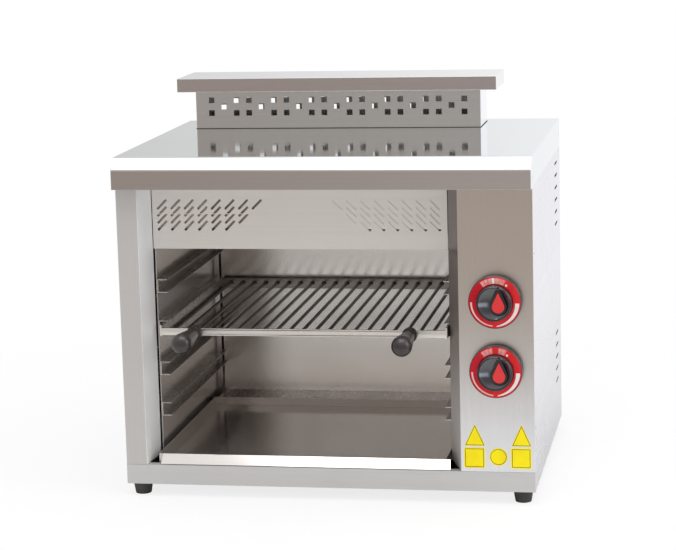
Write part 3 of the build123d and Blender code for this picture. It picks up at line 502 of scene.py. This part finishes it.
rubber = moulded("foot_rubber", srgb(44, 43, 44), srgb(66, 64, 62), 0.55, 0.75)
for corner in ("front_left", "front_right", "back_left", "back_right"):
    rolled_edges("foot_" + corner, rubber, 0.001)

# ---- front post, control panel and cheek ----
# The post is a folded channel at the left of the opening. The panel at the right carries
# the taps, and a slanted cheek closes it towards the cavity.
front_face = -0.2168
upright_length = 0.2
panel_fold_radius = 0.0011

post_steel = steel_sheet(
    "post_steel", srgb(255, 255, 255), along_z, 0.50, metal=0.0, line_shade=0.97
)
# painted shade: the post's front-facing faces are darker than its return
toned(post_steel, "Y", -0.5, -0.9, (0.55, 0.52, 0.50), "Normal")
control_steel = steel_sheet("control_panel_steel", srgb(228, 229, 231), along_z, 0.30)
# painted shade: the panel is darker and warmer towards the top
toned(control_steel, "Z", 0.08, 0.36, (0.88, 0.80, 0.73))
cheek_steel = steel_sheet("cheek_steel", srgb(226, 219, 214), along_z, 0.40, metal=0.35)
# painted shade: the cheek is darker towards the top, and darker still in a strip at its top
toned(cheek_steel, "Z", 0.10, 0.27, (0.38, 0.34, 0.33))
toned(cheek_steel, "Z", 0.350, 0.364, (0.64, 0.62, 0.64))


def panel_fold(first, last):
    """The long upright edges of the folded sheet's front face."""
    return abs(first.z - last.z) > upright_length and max(first.y, last.y) < front_face


rolled_edges("left_front_post", post_steel, fold=panel_fold, fold_radius=panel_fold_radius)
rolled_edges(
    "control_panel", control_steel, plain=False, fold=panel_fold, fold_radius=panel_fold_radius
)
rolled_edges("control_cheek", cheek_steel)

# ---- fascia ----
# A folded strip set back under the cover, punched with two mirrored fields of slanted
# slots that let the burners draw air. Thin baffles stand behind the slots, close on the
# right and further off on the left.
fascia_steel = steel_sheet("fascia_steel", srgb(244, 242, 240), along_x, 0.46, metal=0.85)
rolled_edges("fascia", fascia_steel, 0.0003, plain=False)


def box_piece(name, low, high, material, body):
    """A plain box between two corners, riding a body."""
    cube = bmesh.new()
    corners = bmesh.ops.create_cube(cube, size=1.0)["verts"]
    low, high = Vector(low), Vector(high)
    bmesh.ops.scale(cube, vec=high - low, verts=corners)
    bmesh.ops.translate(cube, vec=(low + high) / 2, verts=corners)
    piece = link_object(name, mesh_from(cube, name, material))
    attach(piece, body)


near_baffle_steel = steel_sheet("near_baffle_steel", srgb(240, 237, 234), along_x, 0.5, metal=0.3)
# painted shade: the far baffles are darker and browner, for the deeper shadow behind the left slots
far_baffle_steel = steel_sheet("far_baffle_steel", srgb(196, 184, 176), along_x, 0.5, metal=0.3)
fascia_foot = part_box("fascia")[0].z
ceiling_low, ceiling_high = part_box("ceiling_plate")
baffle_rise, baffle_top = 0.0295, 0.0745
baffle_sheet = 0.0006
sheet_gap = 0.0001
baffle_heights = (
    (fascia_foot + baffle_rise, ceiling_low.z - sheet_gap),
    (ceiling_high.z + sheet_gap, fascia_foot + baffle_top),
)
fascia_rear = -0.1498
for name, left, right, gap, finish in (
    ("left", -0.2600, -0.1780, 0.0028, far_baffle_steel),
    ("middle", -0.1778, -0.0900, 0.0060, far_baffle_steel),
    ("right", 0.0020, 0.1700, 0.0002, near_baffle_steel),
):
    back = fascia_rear + gap
    for level, (foot, top) in zip(("low", "high"), baffle_heights):
        box_piece(
            f"slot_baffle_{name}_{level}", (left, back, foot), (right, back + baffle_sheet, top),
            finish, "cabinet",
        )

# ---- cavity: walls, ceiling, rack guides and tray ledges ----
# Bright sheet that the burners heat, so it has yellowed a little towards the top. The
# guides are folded channels, spot welded to the side walls. A flange holds the back wall at
# the left, and a strip closes the gap behind the tray.
stain_low, stain_high = 0.30, 0.40
heat_tint = (1.0, 0.97, 0.94)
wall_steel = toned(
    steel_sheet("cavity_wall_steel", srgb(215, 209, 206), along_y, 0.22, metal=0.8),
    "Z", stain_low, stain_high, heat_tint,
)
back_steel = toned(
    steel_sheet("cavity_back_steel", srgb(255, 254, 252), along_x, 0.21, metal=1.0),
    "Z", stain_low, stain_high, heat_tint,
)
# painted shade and light on the back wall: darker towards the left and from the rack's height down,
# then lighter again towards the foot as a painted pool of light
toned(back_steel, "X", -0.125, -0.210, (0.60, 0.58, 0.57))
toned(back_steel, "Z", 0.246, 0.234, (0.65, 0.65, 0.65))
toned(back_steel, "Z", 0.170, 0.148, (1.53, 1.53, 1.53))
back_shader = node_of(back_steel, "BSDF_PRINCIPLED")
back_shader.inputs["Anisotropic"].default_value = 0.75
back_shader.inputs["Anisotropic Rotation"].default_value = 0.25


def tip_normal(tree, relief, tilt):
    """Tips the surface under a relief by a vector, which is a value or a socket."""
    tipped = add_node(tree, "VectorMath", operation="ADD")
    tree.links.new(add_node(tree, "NewGeometry").outputs["Normal"], tipped.inputs[0])
    if isinstance(tilt, bpy.types.NodeSocket):
        tree.links.new(tilt, tipped.inputs[1])
    else:
        tipped.inputs[1].default_value = tilt
    unit = add_node(tree, "VectorMath", operation="NORMALIZE")
    tree.links.new(tipped.outputs[0], unit.inputs[0])
    tree.links.new(unit.outputs[0], relief.inputs["Normal"])


# the back wall bows a little towards its foot, and there mirrors the room over the tray's lip
bow = 0.08
bow_top, bow_foot = 0.150, 0.090
tree = back_steel.node_tree
bowing = ramp_between(tree, axes_of(tree, "Object")["Z"], bow_top, bow_foot)
tilt = add_node(tree, "CombineXYZ")
tree.links.new(remap(tree, bowing, 0.0, bow), tilt.inputs[2])
tip_normal(tree, node_of(back_steel, "BUMP"), tilt.outputs[0])

guide_steel = toned(
    steel_sheet("guide_steel", srgb(190, 184, 180), along_y, 0.28, metal=0.75),
    "Z", stain_low, stain_high, heat_tint,
)
# painted highlight: the front-facing faces of the guides, ledges and rear strip are made brighter
toned(guide_steel, "Y", -0.5, -0.9, (1.6, 1.6, 1.6), "Normal")
back_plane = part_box("cavity_back_wall")[0].y
flange_left, flange_right = -0.2609, -0.2568
flange_foot, flange_top = 0.058, 0.407
flange_front, flange_rear = back_plane + 0.0002, back_plane + 0.0008
box_piece(
    "left_wall_flange", (flange_left, flange_front, flange_foot),
    (flange_right, flange_rear, flange_top), wall_steel, "cabinet",
)
strip_left, strip_right = -0.2515, 0.1685
strip_front, strip_rear = 0.1600, back_plane - 0.0002
strip_foot, strip_top = 0.0562, 0.0568
box_piece(
    "rear_strip", (strip_left, strip_front, strip_foot), (strip_right, strip_rear, strip_top),
    guide_steel, "cabinet",
)
dress(wall_steel, "cavity_left_wall", "cavity_right_wall", "flue_duct")
dress(near_baffle_steel, "ceiling_plate")
dress(back_steel, "cavity_back_wall")
for side in ("left", "right"):
    rolled_edges("tray_ledge_" + side, guide_steel)
    for level in (1, 2, 3, 4):
        rolled_edges(f"guide_{side}_{level}", guide_steel)

# ---- burners ----
# Two pressed boxes with ceramic plaques that glow downwards, each fed through a venturi
# from an injector on its own aluminium pipe.
plaque_pitch = 0.0035
hole_radius, hole_blur = 0.30, 0.06

plaque_ceramic, tree, shader = new_material("plaque_ceramic")
across = add_node(tree, "VectorMath", operation="SCALE", in_Scale=1 / plaque_pitch)
tree.links.new(add_node(tree, "TexCoord").outputs["Object"], across.inputs[0])
flat = add_node(tree, "VectorMath", operation="MULTIPLY", in_1=(1.0, 1.0, 0.0))
tree.links.new(across.outputs[0], flat.inputs[0])
cell = add_node(tree, "VectorMath", operation="FRACTION")
tree.links.new(flat.outputs[0], cell.inputs[0])
from_hole = add_node(tree, "VectorMath", operation="DISTANCE", in_1=(0.5, 0.5, 0.0))
tree.links.new(cell.outputs[0], from_hole.inputs[0])
# the holes are coloured dark as painted shade inside the perforations, with a bump round them
solid = ramp_between(
    tree, from_hole.outputs["Value"], hole_radius - hole_blur, hole_radius + hole_blur
)
soot = use_group(tree, handling, Scale=22.0, Low=0.5, High=0.8)
fired = mix_colours(tree, soot.outputs["Mask"], srgb(222, 208, 186), srgb(160, 140, 118))
tree.links.new(mix_colours(tree, solid, srgb(48, 38, 32), fired), shader.inputs["Base Color"])
shader.inputs["Roughness"].default_value = 0.85
pierced = add_node(tree, "Bump", in_Strength=0.8, in_Distance=0.0008)
tree.links.new(solid, pierced.inputs["Height"])
tree.links.new(pierced.outputs[0], shader.inputs["Normal"])

burner_steel = steel_sheet("burner_steel", srgb(160, 150, 140), along_x, 0.34)
pipe_aluminium = steel_sheet("pipe_aluminium", srgb(206, 207, 210), along_y, 0.30)
for place in ("front", "rear"):
    dress(plaque_ceramic, "plaques_" + place)
    dress(burner_steel, "burner_box_" + place, "venturi_" + place)
    dress(pipe_aluminium, "feed_pipe_" + place)

# ---- top cover, chimney and roof ----
# The cover is one shell of mirror-bright sheet with a bevelled nose. The chimney is a tube
# of sheet with square vents, closed by a folded roof. Their front bands are brushed, and
# painted greyer by the way they face, as painted shade.
band_low, band_high = 0.55, 0.95


def banded_steel(name, bright, band, roughness, band_roughness, sag=0.0):
    """Polished sheet whose upright front band is brushed, less of a mirror, and greyer as painted
    shade.

    Sag is the slope in radians by which the flat sheet falls towards the back.
    """
    material, tree, shader = new_material(name)
    front = ramp_between(tree, axes_of(tree, "Normal")["Y"], -band_low, -band_high)
    hair = use_group(tree, grain, Lines=along_x, Contrast=line_contrast)
    marks = use_group(tree, handling, Scale=6.0)
    wiped = mix_colours(tree, marks.outputs["Mask"], bright, shaded(bright, 0.97))
    lines = mix_colours(tree, hair.outputs["Mask"], band, shaded(band, 0.9))
    # painted shade: the front-facing band takes the greyer band colour, by the way it faces
    tree.links.new(mix_colours(tree, front, wiped, lines), shader.inputs["Base Color"])
    smudged = remap(tree, marks.outputs["Mask"], roughness, roughness * 1.6)
    rough = add_node(tree, "Mix", data_type="FLOAT", in_3=band_roughness)
    tree.links.new(front, rough.inputs[0])
    tree.links.new(smudged, rough.inputs[2])
    tree.links.new(rough.outputs[0], shader.inputs["Roughness"])
    relief = add_node(tree, "Bump", in_Strength=0.08, in_Distance=0.00001)
    tree.links.new(hair.outputs["Height"], relief.inputs["Height"])
    tip_normal(tree, relief, (0.0, sag, 0.0))
    tree.links.new(relief.outputs[0], shader.inputs["Normal"])
    shader.inputs["Metallic"].default_value = 1.0
    return material


cover_steel = banded_steel(
    "cover_steel", srgb(236, 242, 246), srgb(213, 209, 209), 0.06, 0.30, sag=0.012
)
# painted shade: the cover is darker towards its left, its right-facing side darker and bluer, and
# its top a touch darker
toned(cover_steel, "X", 0.45, -0.30, (0.84, 0.81, 0.78))
toned(cover_steel, "X", 0.5, 0.9, (0.775, 0.79, 0.83), "Normal")
toned(cover_steel, "Z", 0.9, 0.99, (0.98, 0.985, 0.99), "Normal")
roof_steel = banded_steel("roof_steel", srgb(242, 243, 246), srgb(198, 190, 190), 0.08, 0.26)
# painted shade: the roof's right-facing side is darker
toned(roof_steel, "X", 0.5, 0.9, (0.84, 0.84, 0.86), "Normal")
chimney_steel = banded_steel("chimney_steel", srgb(240, 241, 246), srgb(211, 210, 209), 0.16, 0.28)
cover_low, cover_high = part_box("top_cover")
nose_rise, nose_depth = 0.02, 0.03
nose_length = 0.5
on_face = 1e-4


def nose_fold(first, last):
    """The two long folds of the cover's nose, on the outside of the sheet."""
    on_front = abs(first.y - cover_low.y) < on_face and first.z > cover_low.z + nose_rise
    on_top = abs(first.z - cover_high.z) < on_face and first.y < cover_low.y + nose_depth
    return abs(first.x - last.x) > nose_length and (on_front or on_top)


skirt_front_y, skirt_left_y, skirt_right_y = -0.205, 0.236, 0.238
skirt_height, skirt_right_height = cover_low.z + 0.012, cover_low.z + 0.021
cover_screws = [
    ((-side_high.x, skirt_front_y, skirt_height), to_left),
    ((-side_high.x, skirt_left_y, skirt_height), to_left),
    ((side_high.x, skirt_front_y, skirt_height), to_right),
    ((side_high.x, skirt_right_y, skirt_right_height), to_right),
]
roof_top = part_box("chimney_roof")[1].z
roof_screw_y = 0.195
roof_screws = [((x, roof_screw_y, roof_top), upwards) for x in (-0.2570, 0.1840)]
rolled_edges("top_cover", cover_steel, 0.0006, fold=nose_fold, pockets=cover_screws)
rolled_edges("chimney_body", chimney_steel, 0.0003, plain=False)
rolled_edges("chimney_roof", roof_steel, 0.0006, pockets=roof_screws)

# a thin dark strip runs round the chimney's foot: painted shade at its joint with the cover
chimney_low, chimney_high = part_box("chimney_body")
bead = 0.0007
joint_shade = moulded("painted_joint_shade", srgb(58, 54, 52), srgb(74, 70, 66), 0.6, 0.75)
left, right = chimney_low.x - bead, chimney_high.x + bead
for name, low, high in (
    ("front", (left, chimney_low.y - bead), (right, chimney_low.y)),
    ("back", (left, chimney_high.y), (right, chimney_high.y + bead)),
    ("left", (left, chimney_low.y), (chimney_low.x, chimney_high.y)),
    ("right", (chimney_high.x, chimney_low.y), (right, chimney_high.y)),
):
    box_piece(
        "chimney_bead_" + name, low + (chimney_low.z,), high + (chimney_low.z + bead,),
        joint_shade, "cabinet",
    )

# ---- drip tray ----
# A shallow pan of the same sheet, its front edge folded over into a sloping pull lip. It
# lies loose on the two ledges.
tray_steel = steel_sheet("tray_steel", srgb(226, 221, 217), along_x, 0.13, metal=0.85)
# painted shade: the tray's top-facing, front-facing and right-facing faces are darkened by facing
toned(tray_steel, "Z", 0.95, 0.99, (0.70, 0.69, 0.69), "Normal")
toned(tray_steel, "Y", -0.93, -0.99, (0.72, 0.70, 0.69), "Normal")
toned(tray_steel, "X", 0.5, 0.9, (0.45, 0.44, 0.43), "Normal")
rolled_edges("drip_tray", tray_steel)

# ---- rack ----
# Flat side bars and a flat front rail of bright steel, with 21 round rods between them. The
# rods are dark, and welded at both ends.
rail_steel = steel_sheet("rack_rail_steel", srgb(250, 248, 245), along_x, 0.28)
rod_steel = steel_sheet("rack_rod_steel", srgb(104, 96, 90), along_y, 0.34, mark_shade=0.8)
# painted shade: the rail's top-facing and right-facing faces are darker, and the rack darker
# towards the rear
toned(rail_steel, "Z", 0.5, 0.9, (0.42, 0.39, 0.37), "Normal")
toned(rail_steel, "X", 0.5, 0.9, (0.50, 0.48, 0.47), "Normal")
toned(rail_steel, "Y", 0.05, 0.20, (0.24, 0.22, 0.21))
rolled_edges("rack_frame", rail_steel, 0.0005, plain=False)
dress(rod_steel, "rack_grid")

# the weld at each end of every rod, darkened by heat
grid_low, grid_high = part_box("rack_grid")
rod_count = 21
rod_radius = (grid_high.z - grid_low.z) / 2
rod_span = grid_high.x - grid_low.x - 2 * rod_radius
front_weld, rear_weld = 0.0028, 0.0036
weld_flow = (1.15, 0.75, 0.85)
bead_steel = steel_sheet("weld_bead_steel", srgb(84, 74, 70), along_x, 0.5, metal=0.8)
welds = bmesh.new()
for index in range(rod_count):
    x = grid_low.x + rod_radius + rod_span * index / (rod_count - 1)
    for y, size in ((grid_low.y, front_weld), (grid_high.y, rear_weld)):
        made = bmesh.ops.create_icosphere(welds, subdivisions=2, radius=size)["verts"]
        bmesh.ops.scale(welds, vec=weld_flow, verts=made)
        bmesh.ops.translate(welds, vec=(x, y, (grid_low.z + grid_high.z) / 2), verts=made)
for face in welds.faces:
    face.smooth = True
rod_welds = link_object("rod_welds", mesh_from(welds, "rod_welds", bead_steel))
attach(rod_welds, "rack")

# ---- rack handles ----
# Two turned grips of black heat-proof plastic with ball ends, screwed on studs that go
# through the rack's front rail.
handle_plastic = moulded("handle_plastic", srgb(50, 44, 45), srgb(66, 58, 58), 0.20, 0.32, 0.00001)
stud_steel = steel_sheet("stud_steel", srgb(214, 212, 210), along_y, 0.25)
for side in ("left", "right"):
    rolled_edges("handle_" + side, handle_plastic, 0.0006)
    dress(stud_steel, "handle_stud_" + side)

# ---- gas line ----
# A zinc-plated pipe runs from the brass inlet at the back, which has a half-inch pipe
# thread, to the two brass taps.
brass = steel_sheet("machined_brass", srgb(214, 178, 104), along_x, 0.26)
zinc_pipe = steel_sheet("zinc_pipe", srgb(196, 198, 202), along_y, 0.38)
dress(zinc_pipe, "gas_manifold")
inlet = rolled_edges("gas_inlet", brass, 0.0004, plain=False)


def join_rings(built, first, second):
    """Faces between two rings with the same number of points."""
    for index in range(len(first)):
        after = (index + 1) % len(first)
        built.faces.new((first[index], first[after], second[after], second[index]))


# the inlet's pipe thread: the plain spigot shrinks to the root, and a helical ridge goes on it
inlet_low, inlet_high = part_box("gas_inlet")
inlet_x, inlet_z = (inlet_low.x + inlet_high.x) / 2, (inlet_low.z + inlet_high.z) / 2
thread_crest, thread_root = 0.01048, 0.00935
thread_pitch = 0.001814
thread_start, thread_end = 0.2542, inlet_high.y - 0.0004
spigot_start = thread_start - 0.0005
radius_slack = 0.0002
for point in inlet.data.vertices:
    out = Vector((point.co.x - inlet_x, point.co.z - inlet_z))
    if point.co.y > spigot_start and abs(out.length - thread_crest) < radius_slack:
        out *= thread_root / out.length
        point.co.x, point.co.z = inlet_x + out.x, inlet_z + out.y
ridge = bmesh.new()
per_turn = 40
run_out = 12
ridge_sunk = thread_root - 0.0002
foot_shift, crest_shift = 0.48 * thread_pitch, 0.10 * thread_pitch
step_count = int((thread_end - thread_start - thread_pitch) / thread_pitch * per_turn)
rows = []
for step in range(step_count + 1):
    turn = math.tau * step / per_turn
    y = thread_start + thread_pitch / 2 + thread_pitch * step / per_turn
    share = min(1.0, step / run_out, (step_count - step) / run_out)
    crest = thread_root + (thread_crest - thread_root) * share
    rows.append([
        ridge.verts.new((
            inlet_x + radius * math.cos(turn), y + shift, inlet_z + radius * math.sin(turn),
        ))
        for radius, shift in (
            (ridge_sunk, -foot_shift), (crest, -crest_shift),
            (crest, crest_shift), (ridge_sunk, foot_shift),
        )
    ])
for here, ahead in zip(rows, rows[1:]):
    join_rings(ridge, ahead, here)
ridge.faces.new(rows[0])
ridge.faces.new(list(reversed(rows[-1])))
bmesh.ops.recalc_face_normals(ridge, faces=ridge.faces)
inlet_thread = link_object("inlet_thread", mesh_from(ridge, "inlet_thread", brass))
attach(inlet_thread, "cabinet")

for tap in ("upper", "lower"):
    dress(brass, "valve_" + tap, "push_collar_" + tap)
    dress(stud_steel, "spindle_" + tap)

# ---- tap knobs ----
# Black moulded skirts and scooped grips, a red enamelled dial ring with a printed scale,
# and a red drop set in the ridge of the grip.
knob_plastic = moulded("knob_plastic", srgb(38, 38, 42), srgb(52, 52, 56), 0.16, 0.28, 0.00001)
dish_plastic = moulded(
    "dish_plastic", srgb(24, 27, 38), srgb(36, 40, 52), 0.10, 0.18, 0.00001, patch=140.0
)
dish_shader = node_of(dish_plastic, "BSDF_PRINCIPLED")
dish_shader.inputs["Coat Weight"].default_value = 1.0
dish_shader.inputs["Coat IOR"].default_value = 1.65
dish_shader.inputs["Coat Roughness"].default_value = 0.06

# a painted highlight: a paler band across the left half of the dish, where it faces level
painted_glint_colour = srgb(140, 148, 162)
glint_lean = 0.05
glint_edge, glint_full = 0.13, 0.01
side_edge, side_full = 0.12, 0.30
tree = dish_plastic.node_tree
facing = axes_of(tree, "Normal")
leaning = add_node(tree, "Math", operation="SUBTRACT", in_1=glint_lean)
tree.links.new(facing["Z"], leaning.inputs[0])
either_way = add_node(tree, "Math", operation="ABSOLUTE")
tree.links.new(leaning.outputs[0], either_way.inputs[0])
painted_glint = add_node(tree, "Math", operation="MULTIPLY")
level_part = ramp_between(tree, either_way.outputs[0], glint_edge, glint_full)
tree.links.new(level_part, painted_glint.inputs[0])
tree.links.new(ramp_between(tree, facing["X"], side_edge, side_full), painted_glint.inputs[1])
dish_colour = dish_shader.inputs["Base Color"]
unglinted = dish_colour.links[0].from_socket
tree.links.new(mix_colours(tree, painted_glint.outputs[0], unglinted, painted_glint_colour), dish_colour)

dial_enamel = moulded("dial_enamel", srgb(226, 34, 40), srgb(232, 50, 52), 0.26, 0.36, 0.00001)
# painted shade: the dial ring is a deeper, darker red on its left side
toned(dial_enamel, "X", 0.250, 0.215, (0.72, 0.25, 0.75))
node_of(dial_enamel, "BSDF_PRINCIPLED").inputs["Specular IOR Level"].default_value = 0.25
dish_radius = 0.0222
dish_rim, dish_floor = 0.0012, 0.0078
dish_curve = 2.4
dish_rings, dish_steps = 14, 64


def dish_mesh(name, centre, face_y):
    """The hollow of a grip: a round dish, deepest in the middle."""
    dish = bmesh.new()
    middle = dish.verts.new((centre[0], face_y + dish_floor, centre[1]))
    turns = [math.tau * step / dish_steps for step in range(dish_steps)]
    inner = None
    for ring in range(1, dish_rings + 1):
        share = ring / dish_rings
        y = face_y + dish_floor + (dish_rim - dish_floor) * share ** dish_curve
        outer = [
            dish.verts.new((
                centre[0] + dish_radius * share * math.sin(turn), y,
                centre[1] + dish_radius * share * math.cos(turn),
            ))
            for turn in turns
        ]
        if inner:
            join_rings(dish, inner, outer)
        else:
            for step in range(dish_steps):
                dish.faces.new((middle, outer[(step + 1) % dish_steps], outer[step]))
        inner = outer
    bmesh.ops.recalc_face_normals(dish, faces=dish.faces)
    for face in dish.faces:
        face.smooth = True
        if face.normal.y > 0:
            face.normal_flip()
    return mesh_from(dish, name, dish_plastic)


drop_plastic = moulded("drop_plastic", srgb(226, 50, 52), srgb(216, 42, 46), 0.3, 0.42, 0.00001)
scale_print = moulded("scale_print", srgb(248, 244, 242), srgb(240, 232, 228), 0.35, 0.5, 0.00001)
print_thickness = 0.00012
print_sink = 0.00005


def printed_patch(name, outline, place, material, body, thickness=print_thickness):
    """A thin patch with that outline in the front plane, standing on a face at place."""
    patch = bmesh.new()
    rims = []
    for step in (0, 1):
        y = place.y + print_sink - step * (thickness + print_sink)
        rims.append([patch.verts.new((place.x + x, y, place.z + z)) for x, z in outline])
    patch.faces.new(rims[1])
    patch.faces.new(list(reversed(rims[0])))
    join_rings(patch, *rims)
    bmesh.ops.recalc_face_normals(patch, faces=patch.faces)
    piece = link_object(name, mesh_from(patch, name, material))
    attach(piece, body)


def on_dial(angle, radius):
    """A point of the dial from its clock angle in degrees and its radius in metres."""
    turn = math.radians(angle)
    return radius * math.sin(turn), radius * math.cos(turn)


def round_outline(centre, radius, steps):
    """The points of a circle, clockwise from its top."""
    turns = [math.tau * step / steps for step in range(steps)]
    return [(centre[0] + radius * math.sin(t), centre[1] + radius * math.cos(t)) for t in turns]


# the scale: a crescent that widens clockwise, a line that narrows, and a dot
scale_rim = 0.0345
scale_sweep, scale_steps = 84, 28
crescent_start, line_start = 92, 186
crescent_tip, crescent_swell, swell_curve = 0.0009, 0.0050, 0.7
line_wide, line_taper = 0.0026, 0.0009
shares = [k / scale_steps for k in range(scale_steps + 1)]
crescent = [on_dial(crescent_start + scale_sweep * share, scale_rim) for share in shares]
crescent += [
    on_dial(
        crescent_start + scale_sweep * (1 - share),
        scale_rim - crescent_tip - crescent_swell * share ** swell_curve,
    )
    for share in shares
]
low_line = [on_dial(line_start + scale_sweep * share, scale_rim) for share in shares]
low_line += [
    on_dial(line_start + scale_sweep * (1 - share), scale_rim - line_wide + line_taper * share)
    for share in shares
]
dot_angle, dot_place, dot_radius, dot_steps = 34.0, 0.0293, 0.0017, 20
dot = round_outline(on_dial(dot_angle, dot_place), dot_radius, dot_steps)
worn_print = moulded(
    "worn_print", srgb(246, 168, 164), srgb(238, 128, 124), 0.35, 0.5, 0.00001, patch=300.0
)
line_print = moulded("line_print", srgb(248, 200, 196), srgb(242, 176, 172), 0.35, 0.5, 0.00001)
band_inner, band_outer = 0.0270, 0.0348


def dial_band(first, last, low, high):
    """A band of the dial between two clock angles and two radii."""
    steps = 8
    angles = [first + (last - first) * k / steps for k in range(steps + 1)]
    return [on_dial(a, high) for a in angles] + [on_dial(a, low) for a in reversed(angles)]


# for each tap, the worn bands and the fresh one, as first and last clock angles
marks_of_tap = {
    "upper": (((-36, -27), (-26, -17), (-16, -8), (1, 12), (13, 27)), (-7, 0)),
    "lower": (((-36, -27), (-26, -17), (-16, -8), (8, 16), (17, 27)), None),
}

for tap in ("upper", "lower"):
    rolled_edges("knob_" + tap, knob_plastic, 0.0005)
    rolled_edges("dial_ring_" + tap, dial_enamel, 0.0002)
    rolled_edges("pointer_" + tap, drop_plastic, 0.0004)
    low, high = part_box("dial_ring_" + tap)
    dial_face = Vector(((low.x + high.x) / 2, low.y, (low.z + high.z) / 2))
    knob_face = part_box("knob_" + tap)[0].y
    hollow = dish_mesh("knob_dish_" + tap, (dial_face.x, dial_face.z), knob_face)
    dish = link_object("knob_dish_" + tap, hollow)
    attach(dish, "tap_" + tap)
    worn_bands, fresh_band = marks_of_tap[tap]
    prints = [
        ("crescent", crescent, scale_print), ("low_line", low_line, line_print),
        ("dot", dot, scale_print),
    ]
    for index, band in enumerate(worn_bands):
        prints.append((f"band_{index + 1}", dial_band(*band, band_inner, band_outer), worn_print))
    if fresh_band:
        prints.append(("bar", dial_band(*fresh_band, band_inner, band_outer), scale_print))
    for name, outline, ink in prints:
        printed_patch(f"dial_{name}_{tap}", outline, dial_face, ink, "tap_" + tap)

# ---- stickers ----
# Five plain yellow vinyl stickers low on the control panel, each with a darker printed
# line round its edge.
sticker_vinyl = moulded("yellow_vinyl", srgb(255, 236, 6), srgb(250, 226, 4), 0.34, 0.46, 0.00001)
node_of(sticker_vinyl, "BSDF_PRINCIPLED").inputs["Specular IOR Level"].default_value = 0.25
sticker_line = moulded("olive_print", srgb(118, 100, 18), srgb(104, 88, 16), 0.4, 0.5, 0.00001)
sticker_thickness = 0.00015
line_width = 0.0009
line_lift = 0.00004
panel_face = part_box("control_panel")[0].y


def rounded_outline(corners, radius, steps=5):
    """The polygon's points in order, with an arc of that radius at every corner."""
    points = []
    for index, corner in enumerate(corners):
        here = Vector(corner)
        back = (Vector(corners[index - 1]) - here).normalized()
        ahead = (Vector(corners[(index + 1) % len(corners)]) - here).normalized()
        half = back.angle(ahead) / 2
        middle = here + (back + ahead).normalized() * radius / math.sin(half)
        start = here + back * radius / math.tan(half) - middle
        end = here + ahead * radius / math.tan(half) - middle
        for step in range(steps + 1):
            points.append(tuple(middle + start.slerp(end, step / steps).normalized() * radius))
    return points


def inset(points, distance):
    """A convex outline moved inwards by a distance."""
    centre = sum((Vector(p) for p in points), Vector((0, 0))) / len(points)
    moved = []
    for index, point in enumerate(points):
        along = Vector(points[(index + 1) % len(points)]) - Vector(points[index - 1])
        inward = Vector((-along.y, along.x)).normalized()
        if inward.dot(centre - Vector(point)) < 0:
            inward = -inward
        moved.append(tuple(Vector(point) + inward * distance))
    return moved


def sticker(name, outline, edge_inset):
    """One sticker with its printed edge line, stuck on the panel's face."""
    place = Vector((0, panel_face, 0))
    printed_patch(name, outline, place, sticker_vinyl, "cabinet", sticker_thickness)
    outer, inner = inset(outline, edge_inset), inset(outline, edge_inset + line_width)
    line = bmesh.new()
    y = panel_face - sticker_thickness - line_lift
    join_rings(line, *([line.verts.new((x, y, z)) for x, z in ring] for ring in (outer, inner)))
    bmesh.ops.recalc_face_normals(line, faces=line.faces)
    piece = link_object(name + "_line", mesh_from(line, name + "_line", sticker_line))
    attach(piece, "cabinet")


triangle_foot, triangle_top, triangle_corner, triangle_inset = 0.0850, 0.1175, 0.0012, 0.0009
square_foot, square_top, square_corner, square_inset = 0.0524, 0.0826, 0.0022, 0.0016
square_shift = 0.0008
for side, left, right in (("left", 0.1993, 0.2293), ("right", 0.2664, 0.2956)):
    triangle = ((left, triangle_foot), (right, triangle_foot), ((left + right) / 2, triangle_top))
    square = (
        (left - square_shift, square_foot), (right - square_shift, square_foot),
        (right - square_shift, square_top), (left - square_shift, square_top),
    )
    sticker(f"sticker_triangle_{side}", rounded_outline(triangle, triangle_corner), triangle_inset)
    sticker(f"sticker_square_{side}", rounded_outline(square, square_corner), square_inset)
disc_centre, disc_radius, disc_steps, disc_inset = (0.2478, 0.0692), 0.0130, 48, 0.0014
sticker("sticker_disc", round_outline(disc_centre, disc_radius, disc_steps), disc_inset)

# ---- screws ----
# Domed screws with a cross recess hold the roof, the cover's skirt and the side panels,
# sunk in shallow pockets, and stand proud on the back panel.
screw_radius = 0.0032
screw_height = 0.0008
recess_width = 0.0009
recess_reach = 0.0042
screw_sink = 0.00085
# painted shade: the heads are dark, for the small shadow each screw makes
screw_steel = steel_sheet("screw_steel", srgb(84, 81, 80), along_x, 0.5, metal=0.3)


def screw_mesh():
    """A domed head along +Z, cut with a cross."""
    head = bmesh.new()
    bmesh.ops.create_uvsphere(head, u_segments=24, v_segments=12, radius=1.0)
    bmesh.ops.bisect_plane(
        head, geom=head.verts[:] + head.edges[:] + head.faces[:], plane_co=(0, 0, 0),
        plane_no=(0, 0, 1), clear_inner=True,
    )
    bmesh.ops.holes_fill(head, edges=head.edges)
    bmesh.ops.scale(head, vec=(screw_radius, screw_radius, screw_height), verts=head.verts)
    cross = bmesh.new()
    for size in ((recess_reach, recess_width), (recess_width, recess_reach)):
        made = bmesh.ops.create_cube(cross, size=1.0)["verts"]
        bmesh.ops.scale(cross, vec=(size[0], size[1], screw_height), verts=made)
        bmesh.ops.translate(cross, vec=(0, 0, screw_height), verts=made)
    result = cut_away(mesh_from(head, "screw_head"), mesh_from(cross, "screw_recess"))
    result.materials.append(screw_steel)
    for face in result.polygons:
        face.use_smooth = False
    return result


screw_head = screw_mesh()
back_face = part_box("back_panel")[1].y
back_columns, back_rows = (-0.285, 0.285), (0.045, 0.25, 0.44)
back_screws = [((x, back_face, z), to_back) for x in back_columns for z in back_rows]
sunk_screws = left_screws + right_screws + cover_screws + roof_screws
for index, (place, towards) in enumerate(sunk_screws + back_screws):
    head = link_object(f"screw_{index + 1}", screw_head)
    sunk = screw_sink if index < len(sunk_screws) else 0.0
    head.matrix_world = seat_at(Vector(place) - towards * sunk, towards)
    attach(head, "cabinet")
